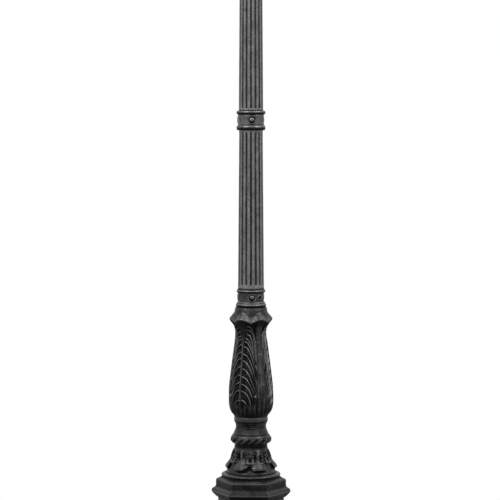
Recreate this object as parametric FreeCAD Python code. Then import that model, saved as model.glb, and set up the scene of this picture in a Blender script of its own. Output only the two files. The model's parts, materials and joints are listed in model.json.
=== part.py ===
import FreeCAD, Part
import math
import os
from FreeCAD import Vector

os.makedirs("parts", exist_ok=True)

# Cast iron garden lamp post, millimetres, +Z up, foot on z = 0, post on the Z axis.
# The front is -Y. A "front angle" turns a piece built facing the front round the post, towards +X.
# The post is a stack of hollow castings, clamped on a threaded core tube, with two fluted
# shafts set in collars above it. The hexagonal plinth holds the wiring behind a door at the back.

# All castings
wall = 8.0                      # thickness of the iron
seat_play = 0.3                 # radial play where one casting locates in the next
seat_depth = 3.0                # height of the locating rims
overrun = 4.0                   # how far a cutting shape runs past what it cuts
hex_count = 6
hex_turn = 180.0 / hex_count    # from a flat of the hexagon to its corner

# Plinth: foot, moulding and upright die, all sizes across half the flats
plinth_height = 258.0
foot_half_flats = 138.0
foot_thickness = 14.0
foot_edge_radius = 3.0
base_moulding_half_flats = 110.0
base_moulding_height = 44.0
die_half_flats = 90.0
anchor_circle_radius = 143.0
anchor_hole_radius = 7.0
cap_pad_thickness = 12.0
cap_pad_reach = 26.0            # from the inner corner towards the axis
cap_bolt_inset = 14.7           # from the die's inner corner to the bolt
cap_bolt_count = 3

# Plinth cap: hexagonal cornice and tier, then a round bead
cornice_height = 43.0
cornice_half_flats = 108.5
tier_half_flats = 95.2
tier_height = 19.0
bead_radius = 93.5
bead_height = 12.0
cap_bolt_land = 12.0            # from the middle of a bolt to the cavity of the cap
web_thickness = 12.0            # the webs that the core tube passes through

# Leaf bell
bell_height = 95.0
bell_foot_radius = 90.0
bell_top_radius = 51.5
leaf_count = 6
leaf_half_width = 24.0
leaf_tip_radius = 78.0
leaf_thickness = 6.0
small_leaf_half_width = 9.0
small_leaf_tip_radius = 69.0

# Leaf ring and neck
leaf_ring_height = 35.0
leaf_ring_radius = 64.0
neck_height = 56.0
neck_radius = 54.5
neck_waist_radius = 47.4
neck_ring_radius = 52.0
neck_ring_height = 16.8
ring_bore_radius = 38.0
seat_radius = 42.0

# Vase
vase_height = 346.0
vase_radius = 69.0
vase_top_radius = 48.2
vase_turn = -26.5               # front angle of the first leaf and of the first lobe
vase_leaf_count = 3
vase_leaf_half_angle = 45.0
frond_count = 9
frond_top_gap = 62.0            # from the vase's top down to the first frond's root
frond_pitch = 27.0
frond_drop = 62.0               # from a frond's root on the midrib to its tip at the leaf's edge
frond_width = 6.0
midrib_half_width = 5.0
carving_depth = 3.5
lobe_count = 6
lobe_radius = 24.0
lobe_reach = 66.5
lobe_drop = 42.0                # from the vase's top down to the lobes' centres

# Collars between the vase, the shafts and the lantern spigot
collar_band_radius = 40.9
collar_torus_radius = 45.2
collar_torus_height = 12.0
collar_foot_torus_height = 15.5   # the lower roll of the upper collars
collar_flare_height = 15.5
lower_collar_height = 56.0
collar_height = 61.0
shoulder_thickness = 6.0
thread_depth = 16.0             # length of the threaded tenon at the top of a shaft
tenon_gap = 1.0                 # between the lower tenon and the core tube
socket_play = 0.15
rosette_count = 3
rosette_turn = 7.5
rosette_dome_radius = 8.5
rosette_dome_proud = 4.0
rosette_ring_radius = 13.0
rosette_ring_width = 2.5
rosette_ring_proud = 1.6
set_screw_count = 3
lower_set_screw_turn = 45.5
upper_set_screw_turn = 67.5
set_screw_radius = 4.0
set_screw_length = 6.0
set_screw_rim_radius = 7.0
set_screw_rim_proud = 1.0
thread_play = 0.1

# Fluted shafts
lower_shaft_length = 496.0
lower_shaft_foot_radius = 41.2
lower_shaft_top_radius = 37.3
upper_shaft_length = 480.0
upper_shaft_foot_radius = 38.6
upper_shaft_top_radius = 35.3
shaft_bore_radius = 27.0
foot_tenon_radius = 34.0
lower_top_tenon_radius = 33.0
upper_top_tenon_radius = 31.5
flute_count = 16
flute_turn = 3.5
flute_width = 9.0
flute_depth = 2.6
flute_foot_margin = 9.0         # plain length at the foot of the lower shaft
flute_end_margin = 4.0          # and at the other ends

# Lantern spigot
spigot_radius = 30.0
spigot_length = 80.0
spigot_bore_radius = 24.0
spigot_chamfer = 3.0

# Core tube and its nuts
core_radius = 21.2
core_bore_radius = 18.0
core_play = 0.4
core_nut_half_flats = 27.0
core_nut_height = 10.0
core_washer_radius = 34.0
core_washer_thickness = 4.0
core_end_proud = 2.0            # tube past its nuts

# Cap bolts, M8
bolt_radius = 4.0
bolt_play = 0.5
bolt_head_half_flats = 6.5
bolt_head_height = 5.3
bolt_grip_depth = 20.0          # length of bolt in the cap

# Access door in the rear flat of the die
door_opening_half_width = 32.0
door_opening_top_gap = 40.0     # from the opening up to the top of the plinth
door_opening_bottom_gap = 20.0  # from the moulding up to the opening
door_corner_radius = 6.0
door_overlap = 6.0
door_thickness = 5.0
door_panel_margin = 10.0
door_panel_proud = 1.5
gasket_thickness = 1.5
gasket_inset = 1.0
gasket_gap = 0.3
knuckle_radius = 5.0
knuckle_play = 0.5
knuckle_length = 44.0
lug_length = 16.0
hinge_pin_radius = 2.5
hinge_pin_play = 0.05
hinge_pin_head_radius = 4.0
hinge_pin_head_height = 2.0
hinge_leaf_thickness = 3.8

# Key lock in the door
lock_offset = 17.0              # lock axis from the middle of the door
barrel_radius = 8.0
barrel_flange_radius = 11.0
barrel_flange_thickness = 2.0
barrel_nut_half_flats = 11.0
barrel_nut_thickness = 4.0
plug_radius = 5.0
plug_play = 0.05
plug_head_radius = 6.5
plug_head_length = 3.0
plug_end_play = 0.3
key_recess_radius = 4.0
key_recess_depth = 4.0
cam_length = 23.0
cam_half_width = 5.0
cam_thickness = 3.0
cam_gap = 0.6                   # between the cam and the inner face of the wall
cam_square = 6.0
cam_screw_radius = 2.0
cam_screw_length = 12.0
cam_screw_head_radius = 4.0
cam_screw_head_height = 2.5

# Backboard on two bosses of the front wall, and what it carries
board_half_width = 36.0
board_height = 160.0
board_top_gap = 32.0            # from the board up to the top of the plinth
board_thickness = 8.0
board_boss_length = 24.0
board_boss_radius = 8.0
board_screw_radius = 3.0
board_screw_head_radius = 5.5
board_screw_head_height = 3.5
board_screw_grip = 14.0
board_screw_inset = 9.0
cutout_width = 46.0
cutout_height = 74.0
cutout_depth = 24.0
cutout_top_margin = 16.0
cutout_floor = 8.0
cutout_corner_radius = 2.0
carrier_width = 30.0
carrier_height = 52.0
carrier_play = 0.3
carrier_grip_width = 10.0
carrier_grip_proud = 12.0
terminal_width = 52.0
terminal_height = 20.0
terminal_depth = 18.0
terminal_gap = 8.0              # below the cut-out
terminal_count = 4
terminal_screw_radius = 2.5
terminal_screw_depth = 5.0
terminal_hole_radius = 2.8
bracket_thickness = 3.0
bracket_depth = 38.0
bracket_height = 18.0
bracket_half_width = 20.0
gland_place_share = 0.6         # of the bracket's depth
gland_bore_radius = 8.0
gland_body_radius = 11.0
gland_body_length = 16.0
gland_flange_half_flats = 14.0
gland_flange_thickness = 6.0
gland_nut_half_flats = 14.0
gland_nut_thickness = 5.0

# Earth stud on the inside of the front right wall
earth_turn = 60.0
earth_height = 120.0
earth_stud_radius = 4.0
earth_stud_length = 32.0
earth_boss_radius = 9.0
earth_boss_length = 6.0
earth_grip = 8.0
earth_nut_half_flats = 6.5
earth_nut_thickness = 6.5
earth_washer_radius = 8.0
earth_washer_thickness = 1.6

# Heights of the joints between the pieces, from the sizes above
cap_foot = plinth_height
cap_hex_top = cap_foot + cornice_height + tier_height
bell_foot = cap_hex_top + bead_height
ring_foot = bell_foot + bell_height
neck_foot = ring_foot + leaf_ring_height
vase_foot = neck_foot + neck_height
lower_collar_foot = vase_foot + vase_height
lower_shaft_foot = lower_collar_foot + lower_collar_height
upper_collar_foot = lower_shaft_foot + lower_shaft_length
upper_shaft_foot = upper_collar_foot + collar_height
top_collar_foot = upper_shaft_foot + upper_shaft_length
spigot_foot = top_collar_foot + collar_height
core_hole_radius = core_radius + core_play

# Places in the vase, from the sizes above
frond_top = vase_height - frond_top_gap
lobe_height = vase_height - lobe_drop

# Places in the plinth and its cap, from the sizes above
die_inner = die_half_flats - wall
die_inner_corner = die_inner / math.cos(math.radians(hex_turn))
cap_bolt_circle_radius = die_inner_corner - cap_bolt_inset
cap_cavity_radius = cap_bolt_circle_radius - cap_bolt_land
moulding_top = foot_thickness + base_moulding_height
door_opening_bottom = moulding_top + door_opening_bottom_gap
door_opening_height = plinth_height - door_opening_top_gap - door_opening_bottom
board_bottom = plinth_height - board_top_gap - board_height
door_back = die_half_flats + gasket_gap + gasket_thickness
door_face = door_back + door_thickness
panel_face = door_face + door_panel_proud
lock_face = panel_face + barrel_flange_thickness
cam_front = die_inner - cam_gap
cam_back = cam_front - cam_thickness
barrel_end = cam_front + plug_end_play
door_half_width = door_opening_half_width + door_overlap
door_bottom = door_opening_bottom - door_overlap
door_height = door_opening_height + 2 * door_overlap
door_middle = door_opening_bottom + door_opening_height / 2
hinge_x = -(door_half_width + knuckle_radius + knuckle_play)
hinge_y = die_half_flats + knuckle_play + knuckle_radius
board_back = -(die_inner - board_boss_length)
board_face = board_back + board_thickness
cutout_foot = board_bottom + board_height - cutout_top_margin - cutout_height
terminal_foot = cutout_foot - terminal_gap - terminal_height
gland_y = board_face + bracket_depth * gland_place_share
bracket_shelf = board_bottom + board_screw_inset + bracket_height / 2
earth_seat = -(die_inner - earth_boss_length)


# Drawing helpers

def point(across, up):
    return Vector(across, 0, up)


def line(*points):
    return ("line", points)


def bend(across, up, share):
    # an arc to this point whose height is a share of its chord, to the left of the way if positive
    return ("bend", (across, up), share)


def flow(*points):
    # arcs, each given by a point on its way and its end
    return ("flow", points)


def outline(start, *steps):
    # closed face in the XZ plane from straight runs and arcs
    edges = []
    here = point(*start)
    for step in steps:
        if step[0] == "line":
            for end in step[1]:
                edges.append(Part.makeLine(here, point(*end)))
                here = point(*end)
        elif step[0] == "bend":
            end = point(*step[1])
            chord = end - here
            side = Vector(-chord.z, 0, chord.x)
            middle = (here + end) * 0.5 + side * step[2]
            edges.append(Part.Arc(here, middle, end).toShape())
            here = end
        else:
            for middle, end in zip(step[1][0::2], step[1][1::2]):
                edges.append(Part.Arc(here, point(*middle), point(*end)).toShape())
                here = point(*end)
    if here.distanceToPoint(point(*start)) > Part.Precision.confusion():
        edges.append(Part.makeLine(here, point(*start)))
    return Part.Face(Part.Wire(edges))


def lathe(face, angle=360.0):
    return face.revolve(Vector(0, 0, 0), Vector(0, 0, 1), angle)


def hexed(face):
    # runs a wall's section round a hexagon, with mitred corners
    box = face.BoundBox
    half_side = box.XMax * math.tan(math.radians(hex_turn))
    run = face.translated(Vector(0, -half_side, 0)).extrude(Vector(0, 2 * half_side, 0))
    far = box.XMax + overrun
    spread = far * math.tan(math.radians(hex_turn))
    low, high = box.ZMin - overrun, box.ZMax + overrun
    corners = [Vector(0, 0, low), Vector(far, -spread, low), Vector(far, spread, low), Vector(0, 0, low)]
    wedge = Part.Face(Part.makePolygon(corners)).extrude(Vector(0, 0, high - low))
    side = run.common(wedge)
    sides = turned_copies(side, hex_count, hex_turn)
    return sides[0].multiFuse(sides[1:]).removeSplitter()


def turned(shape, angle):
    copy = shape.copy()
    copy.rotate(Vector(0, 0, 0), Vector(0, 0, 1), angle)
    return copy


def turned_copies(shape, count, first=0.0):
    return [turned(shape, first + k * 360.0 / count) for k in range(count)]


def tube(outer, inner, low, high):
    solid = Part.makeCylinder(outer, high - low, Vector(0, 0, low))
    hole = Part.makeCylinder(inner, high - low + 2 * overrun, Vector(0, 0, low - overrun))
    return solid.cut(hole)


def rod(radius, start, end):
    way = end - start
    return Part.makeCylinder(radius, way.Length, start, way)


def upright(radius, low, high, x=0, y=0):
    return rod(radius, Vector(x, y, low), Vector(x, y, high))


def level(radius, y0, y1, z, x=0):
    return rod(radius, Vector(x, y0, z), Vector(x, y1, z))


def block(x0, x1, y0, y1, z0, z1):
    return Part.makeBox(x1 - x0, y1 - y0, z1 - z0, Vector(x0, y0, z0))


def hexagon_bar(half_flats, start, end):
    # hexagonal bar between two points, for bolt heads and nuts
    way = end - start
    corner = half_flats / math.cos(math.radians(hex_turn))
    ring = []
    for k in range(hex_count + 1):
        angle = math.radians(2 * hex_turn * k)
        ring.append(Vector(corner * math.cos(angle), corner * math.sin(angle), 0))
    bar = Part.Face(Part.makePolygon(ring)).extrude(Vector(0, 0, way.Length))
    bar.Placement = FreeCAD.Placement(start, FreeCAD.Rotation(Vector(0, 0, 1), way))
    return bar


def upright_hexagon(half_flats, low, high, x=0, y=0):
    return hexagon_bar(half_flats, Vector(x, y, low), Vector(x, y, high))


def slab(half_width, low, high, radius, y0, y1):
    # upright plate with rounded corners between two depths
    box = block(-half_width, half_width, y0, y1, low, high)
    across = [e for e in box.Edges if abs(e.Vertexes[0].Y - e.Vertexes[1].Y) > (y1 - y0) / 2]
    return box.makeFillet(radius, across)


def write(name, shape):
    solids = shape.Solids
    whole = solids[0] if len(solids) == 1 else Part.makeCompound(solids)
    if not whole.isValid():
        print("not valid:", name)
    whole.exportStep(os.path.join("parts", name + ".step"))
    print(f"{name}: {len(solids)} solid(s), {whole.Volume / 1000:.1f} cm3")


# Plinth and its cap

def make_plinth():
    step = base_moulding_height / 2
    waist = die_half_flats + (base_moulding_half_flats - die_half_flats) * 0.5
    section = outline(
        (die_inner, 0),
        line((foot_half_flats, 0), (foot_half_flats, foot_thickness - foot_edge_radius)),
        bend(foot_half_flats - foot_edge_radius, foot_thickness, -0.2),
        line((base_moulding_half_flats, foot_thickness)),
        bend(waist + wall / 4, foot_thickness + step, -0.22),
        line((waist, foot_thickness + step)),
        bend(die_half_flats, moulding_top, 0.2),
        line((die_half_flats, plinth_height), (die_inner, plinth_height)),
    )
    plinth = hexed(section)
    plinth = plinth.multiFuse(cap_pads() + board_bosses() + [earth_boss()] + hinge_lugs())
    hole = upright(anchor_hole_radius, -overrun, foot_thickness + overrun, anchor_circle_radius)
    cuts = turned_copies(hole, hex_count)
    cuts += turned_copies(cap_bolt_hole(), cap_bolt_count, 2 * hex_turn)
    cuts.append(door_opening())
    cuts += board_screw_holes()
    cuts.append(earth_hole())
    return plinth.cut(Part.makeCompound(cuts))


def cap_pads():
    near = die_inner_corner - cap_pad_reach
    low = plinth_height - cap_pad_thickness
    half = cap_pad_reach
    pad = block(near, die_inner_corner + wall, -half, half, low, plinth_height)
    inside = upright_hexagon(die_inner + wall / 2, low, plinth_height)
    return turned_copies(pad.common(inside), cap_bolt_count, 2 * hex_turn)


def cap_bolt_hole():
    low = plinth_height - cap_pad_thickness - overrun
    return upright(bolt_radius + bolt_play, low, plinth_height + overrun, cap_bolt_circle_radius)


def door_opening():
    low, high = door_opening_bottom, door_opening_bottom + door_opening_height
    return slab(door_opening_half_width, low, high, door_corner_radius,
                die_inner - overrun, die_half_flats + overrun)


def board_screw_places():
    top = board_bottom + board_height - board_screw_inset
    return [(0, board_bottom + board_screw_inset), (0, top)]


def board_bosses():
    start = -(die_inner + wall / 2)
    return [level(board_boss_radius, start, board_back, z, x) for x, z in board_screw_places()]


def board_screw_holes():
    deep = board_back - board_screw_grip - thread_play
    radius = board_screw_radius + thread_play
    return [level(radius, deep, board_back + overrun, z, x) for x, z in board_screw_places()]


def earth_boss():
    start, end = -(die_inner + wall / 2), earth_seat
    return turned(level(earth_boss_radius, start, end, earth_height), earth_turn)


def earth_hole():
    start, end = earth_seat - earth_grip - thread_play, earth_seat + overrun
    return turned(level(earth_stud_radius + thread_play, start, end, earth_height), earth_turn)


def hinge_lugs():
    lugs = []
    for side in (-1, 1):
        near = door_middle + side * (knuckle_length / 2 + knuckle_play)
        far = near + side * lug_length
        low, high = min(near, far), max(near, far)
        eye = upright(knuckle_radius, low, high, hinge_x, hinge_y)
        root = block(hinge_x - knuckle_radius, hinge_x + knuckle_radius,
                     die_half_flats - wall / 2, hinge_y, low, high)
        hole = upright(hinge_pin_radius, low - overrun, high + overrun, hinge_x, hinge_y)
        lugs.append(eye.fuse(root).cut(hole))
    return lugs


def make_plinth_cap():
    nose = cap_foot + cornice_height / 2
    tier_foot = cap_foot + cornice_height
    reach = cornice_half_flats - die_half_flats
    lip = reach * 0.12
    round_edge = tier_height * 0.42
    middle = (cornice_half_flats - lip + tier_half_flats) / 2
    inner = cap_cavity_radius / 2
    section = outline(
        (inner, cap_foot),
        line((die_half_flats, cap_foot)),
        bend(cornice_half_flats - lip, nose - lip, -0.06),
        bend(cornice_half_flats - lip, nose + 2 * lip, -0.35),
        bend(middle, (nose + 2 * lip + tier_foot) / 2, -0.1),
        bend(tier_half_flats, tier_foot, 0.12),
        line((tier_half_flats, cap_hex_top - round_edge)),
        bend(tier_half_flats - round_edge, cap_hex_top, -0.2),
        line((inner, cap_hex_top)),
    )
    cap = hexed(section)
    half = bead_height * 0.42
    rim = bell_foot_radius - wall - seat_play
    top = lathe(outline(
        (0, cap_hex_top - web_thickness),
        line((bead_radius - half, cap_hex_top - web_thickness), (bead_radius - half, cap_hex_top)),
        bend(bead_radius - half, cap_hex_top + 2 * half, -0.5),
        line((bead_radius - half, bell_foot), (rim, bell_foot), (rim, bell_foot + seat_depth),
             (cap_cavity_radius, bell_foot + seat_depth), (cap_cavity_radius, bell_foot), (0, bell_foot)),
    ))
    cap = cap.fuse(top)
    cavity = upright(cap_cavity_radius, cap_foot - overrun, bell_foot - web_thickness)
    hole = upright(core_hole_radius, cap_foot, bell_foot + overrun)
    bolt_hole = upright(bolt_radius + thread_play, cap_foot - overrun,
                        cap_foot + bolt_grip_depth + overrun, cap_bolt_circle_radius)
    bolt_holes = turned_copies(bolt_hole, cap_bolt_count, 2 * hex_turn)
    return cap.cut(Part.makeCompound([cavity.fuse(hole)] + bolt_holes))


def make_cap_bolts():
    seat = plinth_height - cap_pad_thickness
    shank = upright(bolt_radius, seat, cap_foot + bolt_grip_depth, cap_bolt_circle_radius)
    head = upright_hexagon(bolt_head_half_flats, seat - bolt_head_height, seat, cap_bolt_circle_radius)
    return Part.makeCompound(turned_copies(shank.fuse(head), cap_bolt_count, 2 * hex_turn))


# Leaf bell

bell_shares = [(0.87, 0.12), (0.745, 0.28), (0.65, 0.5), (0.595, 0.75)]


def bell_curve(inset):
    # points of the bell from its foot up, or of its cavity with an inset
    return [(a * bell_foot_radius - inset, bell_foot + u * bell_height) for a, u in bell_shares]


def make_leaf_bell():
    lip = wall / 4
    top = bell_foot + bell_height
    web_low = top - web_thickness
    seat = top - seat_depth - seat_play
    inner = bell_curve(wall)
    section = outline(
        (bell_foot_radius - wall, bell_foot),
        line((bell_foot_radius, bell_foot), (bell_foot_radius, bell_foot + lip)),
        flow(*bell_curve(0)),
        line((bell_top_radius, top), (seat_radius, top), (seat_radius, seat), (core_hole_radius, seat),
             (core_hole_radius, web_low), (inner[-1][0], web_low), inner[-1]),
        flow(*reversed(inner[:-1]), (bell_foot_radius - wall, bell_foot + seat_depth + seat_play)),
    )
    bell = lathe(section)
    long_leaf = curled_leaf(leaf_half_width, leaf_tip_radius, 0.28)
    short_leaf = curled_leaf(small_leaf_half_width, small_leaf_tip_radius, 0.42)
    leaves = turned_copies(long_leaf, leaf_count, hex_turn) + turned_copies(short_leaf, leaf_count)
    return bell.multiFuse(leaves)


leaf_shares = [(0.6, -0.1), (0.95, 0.1), (1.0, 0.4), (0.83, 0.8)]


def curled_leaf(half_width, tip_radius, tip_share):
    # a leaf that lies on the bell and curls out at its tip, facing the front
    top = bell_foot + bell_height - wall / 2
    tip = bell_foot + tip_share * bell_height
    body = top - tip
    root = bell_top_radius
    out = tip_radius - root
    section = outline(
        (root - wall / 2, top),
        line((root + leaf_thickness * 0.4, top)),
        flow((root + 0.38 * out, tip + 0.6 * body), (root + 0.5 * out, tip + 0.34 * body),
             (root + 0.78 * out, tip + 0.14 * body), (tip_radius, tip)),
        bend(tip_radius - leaf_thickness, tip - leaf_thickness * 0.8, 0.5),
        flow((root + 0.55 * out, tip + 0.04 * body), (root + 0.2 * out, tip + 0.2 * body)),
        line((root - wall / 2, tip + 0.4 * body)),
    )
    sweep_angle = 2 * math.degrees(math.asin(half_width / root))
    band = turned(lathe(section, sweep_angle), -90 - sweep_angle / 2)
    right = [(u * half_width, tip + v * body) for u, v in leaf_shares]
    left = [(-x, z) for x, z in reversed(right)]
    low = (0, tip - leaf_thickness * 1.5)
    mask = outline(
        low,
        flow(*right),
        line((right[-1][0], top + overrun), (left[0][0], top + overrun), left[0]),
        flow(*left[1:], low),
    )
    return band.common(mask.extrude(Vector(0, -(tip_radius + overrun), 0)))


# Leaf ring and neck

def make_leaf_ring():
    top = ring_foot + leaf_ring_height
    groove = leaf_ring_height * 0.13
    section = outline(
        (ring_bore_radius, ring_foot - seat_depth),
        line((seat_radius - seat_play, ring_foot - seat_depth), (seat_radius - seat_play, ring_foot),
             (bell_top_radius, ring_foot), (bell_top_radius, ring_foot + groove)),
        flow((leaf_ring_radius * 0.94, ring_foot + leaf_ring_height * 0.24),
             (leaf_ring_radius, ring_foot + leaf_ring_height * 0.5),
             (leaf_ring_radius * 0.965, ring_foot + leaf_ring_height * 0.77), (neck_radius + wall / 8, top)),
        line((seat_radius, top), (seat_radius, top - seat_depth - seat_play),
             (ring_bore_radius, top - seat_depth - seat_play)),
    )
    return lathe(section)


def make_neck():
    top = neck_foot + neck_height
    ring_low = top - neck_ring_height
    middle = (neck_foot + ring_low) / 2
    rise = (ring_low - neck_foot) / 4
    flank = (neck_radius + 2 * neck_waist_radius) / 3
    section = outline(
        (ring_bore_radius, neck_foot - seat_depth),
        line((seat_radius - seat_play, neck_foot - seat_depth), (seat_radius - seat_play, neck_foot),
             (neck_radius, neck_foot)),
        flow((flank, middle - rise), (neck_waist_radius, middle),
             (flank, middle + rise), (neck_ring_radius, ring_low)),
        bend(neck_ring_radius, top, -0.07),
        line((seat_radius, top), (seat_radius, top - seat_depth - seat_play),
             (ring_bore_radius, top - seat_depth - seat_play)),
    )
    return lathe(section)


# Vase

vase_shares = [(0.87, 0.035), (0.955, 0.085), (1.0, 0.19), (0.962, 0.328), (0.907, 0.419), (0.849, 0.51),
               (0.733, 0.694), (0.7145, 0.766), (0.738, 0.803), (0.78, 0.845), (0.77, 0.92), (0.715, 0.975)]
vase_foot_share = 0.765


def vase_curve(inset):
    return [(a * vase_radius - inset, vase_foot + u * vase_height) for a, u in vase_shares]


def vase_body(inset):
    top = vase_foot + vase_height
    return lathe(outline(
        (0, vase_foot),
        line((vase_foot_share * vase_radius - inset, vase_foot)),
        flow(*vase_curve(inset)),
        line((vase_top_radius - inset, top), (0, top)),
    ))


def vase_cavity():
    low, high = vase_foot + web_thickness, vase_foot + vase_height - 2 * web_thickness
    points = vase_curve(wall + carving_depth)[1:8]
    return lathe(outline(
        (0, low),
        line((points[0][0] - wall, low), points[0]),
        flow(*points[1:]),
        line((points[-1][0], high), (0, high)),
    ))


def vase_radius_at(height):
    # radius of the vase at a height above its foot, by straight runs between the outline's points
    rows = [(vase_foot_share, 0.0)] + vase_shares + [(vase_top_radius / vase_radius, 1.0)]
    share = min(max(height / vase_height, 0.0), 1.0)
    for (a0, u0), (a1, u1) in zip(rows, rows[1:]):
        if share <= u1:
            return vase_radius * (a0 + (a1 - a0) * (share - u0) / (u1 - u0))
    return vase_top_radius


def frond_pocket(root, side):
    # hollow between one frond and the next on one side of the midrib
    tip_height = max(root - frond_drop, frond_pitch / 2)
    edge = side * vase_radius_at(tip_height) * math.sin(math.radians(vase_leaf_half_angle))
    stem = side * midrib_half_width
    upper = point(stem, vase_foot + root - frond_width / 2)
    lower = point(stem, vase_foot + root - frond_pitch + frond_width / 2)
    tip = point(edge, vase_foot + tip_height)
    fall = root - tip_height
    crown = point(stem + (edge - stem) * 0.62, vase_foot + root - fall * 0.3)
    belly = point(stem + (edge - stem) * 0.5, vase_foot + root - frond_pitch - (fall - frond_pitch) * 0.28)
    edges = [
        Part.makeLine(lower, upper),
        Part.Arc(upper, crown, tip).toShape(),
        Part.Arc(tip, belly, lower).toShape(),
    ]
    return Part.Face(Part.Wire(edges)).extrude(Vector(0, -(vase_radius + overrun), 0))


def make_vase():
    solid = vase_body(0)
    skin = vase_body(-overrun).cut(vase_body(carving_depth))
    roots = [frond_top - k * frond_pitch for k in range(frond_count)]
    pockets = [frond_pocket(root, side) for root in roots for side in (-1, 1)]
    carved = skin.common(Part.makeCompound(pockets))
    carving = [turned(carved, vase_turn + k * 360.0 / vase_leaf_count) for k in range(vase_leaf_count)]
    solid = solid.multiFuse(lobes())
    solid = solid.cut(Part.makeCompound(carving))
    top = vase_foot + vase_height
    hole = upright(core_hole_radius, vase_foot - overrun, top + overrun)
    recess = upright(foot_tenon_radius, top - seat_depth - seat_play, top)
    rim = tube(seat_radius - seat_play, core_hole_radius, vase_foot - seat_depth, vase_foot)
    return solid.fuse(rim).cut(vase_cavity().fuse(hole).fuse(recess))


def lobes():
    centre = vase_foot + lobe_height
    ball = Part.makeSphere(lobe_radius, Vector(0, -(lobe_reach - lobe_radius), centre))
    waist = vase_radius_at(lobe_height - lobe_radius)
    under = lathe(outline(
        (0, centre - 2 * lobe_radius),
        line((waist, centre - lobe_radius * 1.5), (lobe_reach * 0.86, centre - lobe_radius * 0.42),
             (lobe_reach, centre - lobe_radius / 10),
             (lobe_reach + lobe_radius, centre - lobe_radius / 10),
             (lobe_reach + lobe_radius, centre - 2 * lobe_radius)),
    ))
    return turned_copies(ball.cut(under), lobe_count, vase_turn)


# Collars

def collar_outside(foot, height, flare_radius):
    # steps from the foot of a collar up its outside: flare or torus, band, torus
    top = foot + height
    roll = collar_torus_radius - collar_band_radius
    if flare_radius:
        low = foot + collar_flare_height
        steps = [line((flare_radius, foot)),
                 bend(collar_torus_radius, foot + collar_flare_height * 0.62, -0.1),
                 bend(collar_band_radius, low, 0.12)]
    else:
        low = foot + collar_foot_torus_height
        share = roll / collar_foot_torus_height
        steps = [line((collar_band_radius, foot)), bend(collar_band_radius, low, -share)]
    high = top - collar_torus_height
    share = roll / collar_torus_height
    steps += [line((collar_band_radius, high)), bend(collar_band_radius, top, -share)]
    return steps, (low + high) / 2


def collar_trim(body, middle, screw_turn):
    # adds the rosettes and the drilled rims of the set screws
    added = turned_copies(rosette(middle), rosette_count, rosette_turn)
    added += turned_copies(screw_rim(middle), set_screw_count, screw_turn)
    hole = level(set_screw_radius + thread_play, -shaft_bore_radius, -(collar_torus_radius + overrun), middle)
    return body.multiFuse(added).cut(Part.makeCompound(turned_copies(hole, set_screw_count, screw_turn)))


def make_lower_collar():
    # stands on the vase, held by the top nut of the core tube
    foot, top = lower_collar_foot, lower_shaft_foot
    outside, middle = collar_outside(foot, lower_collar_height, vase_top_radius)
    socket = foot_tenon_radius + socket_play
    rim = foot_tenon_radius - seat_play
    body = lathe(outline(
        (core_hole_radius, foot - seat_depth),
        line((rim, foot - seat_depth), (rim, foot)),
        *outside,
        line((socket, top), (socket, foot + wall), (core_hole_radius, foot + wall)),
    ))
    return collar_trim(body, middle, lower_set_screw_turn), middle


def make_upper_collar(foot, thread_radius):
    # screwed on the shaft below, with a socket for what stands above and a shoulder between
    top = foot + collar_height
    outside, middle = collar_outside(foot, collar_height, 0)
    socket = foot_tenon_radius + socket_play
    bore = thread_radius + socket_play
    shoulder = foot + thread_depth
    floor = shoulder + shoulder_thickness
    body = lathe(outline(
        (bore, foot),
        *outside,
        line((socket, top), (socket, floor), (shaft_bore_radius, floor), (shaft_bore_radius, shoulder),
             (bore, shoulder)),
    ))
    return collar_trim(body, middle, upper_set_screw_turn), middle


def rosette(height):
    # domed boss in a raised ring
    face = collar_band_radius - rosette_ring_proud
    ball = (rosette_dome_radius ** 2 + rosette_dome_proud ** 2) / (2 * rosette_dome_proud)
    dome = Part.makeSphere(ball, Vector(0, -(collar_band_radius + rosette_dome_proud - ball), height))
    start, end = -(face - overrun), -(collar_band_radius + rosette_ring_proud)
    ring = level(rosette_ring_radius, start, end, height)
    ring = ring.cut(level(rosette_ring_radius - rosette_ring_width, start, end, height))
    reach = rosette_ring_radius + overrun
    outside = tube(2 * collar_band_radius, face, height - reach, height + reach)
    return dome.fuse(ring).common(outside)


def screw_rim(height):
    start, end = -(collar_band_radius - 2 * set_screw_rim_proud), -(collar_band_radius + set_screw_rim_proud)
    return level(set_screw_rim_radius, start, end, height)


def set_screws(height, screw_turn):
    tip = -(foot_tenon_radius + thread_play / 2)
    end = tip - set_screw_length
    body = level(set_screw_radius, tip, end, height)
    deep = Vector(0, (tip + end) / 2, height)
    key = hexagon_bar(set_screw_radius / 2, deep, Vector(0, end - overrun, height))
    return Part.makeCompound(turned_copies(body.cut(key), set_screw_count, screw_turn))


# Fluted shafts

def shaft(foot, length, foot_radius, top_radius, lower_tenon, upper_tenon_radius, foot_margin):
    top = foot + length
    low_end, high_end = foot - lower_tenon, top + thread_depth - seat_play
    body = lathe(outline(
        (shaft_bore_radius, low_end),
        line((foot_tenon_radius, low_end), (foot_tenon_radius, foot), (foot_radius, foot), (top_radius, top),
             (upper_tenon_radius, top), (upper_tenon_radius, high_end), (shaft_bore_radius, high_end)),
    ))
    cutter_radius = (flute_width ** 2 / 4 + flute_depth ** 2) / (2 * flute_depth)
    stand = cutter_radius - flute_depth
    slope = (top_radius - foot_radius) / length
    low, high = foot_margin + flute_width / 2, length - flute_end_margin - flute_width / 2
    start = Vector(0, -(foot_radius + slope * low + stand), foot + low)
    end = Vector(0, -(foot_radius + slope * high + stand), foot + high)
    way = end - start
    capsule = Part.makeCylinder(cutter_radius, way.Length, start, way)
    capsule = capsule.multiFuse([Part.makeSphere(cutter_radius, start), Part.makeSphere(cutter_radius, end)])
    return body.cut(Part.makeCompound(turned_copies(capsule, flute_count, flute_turn)))


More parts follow.
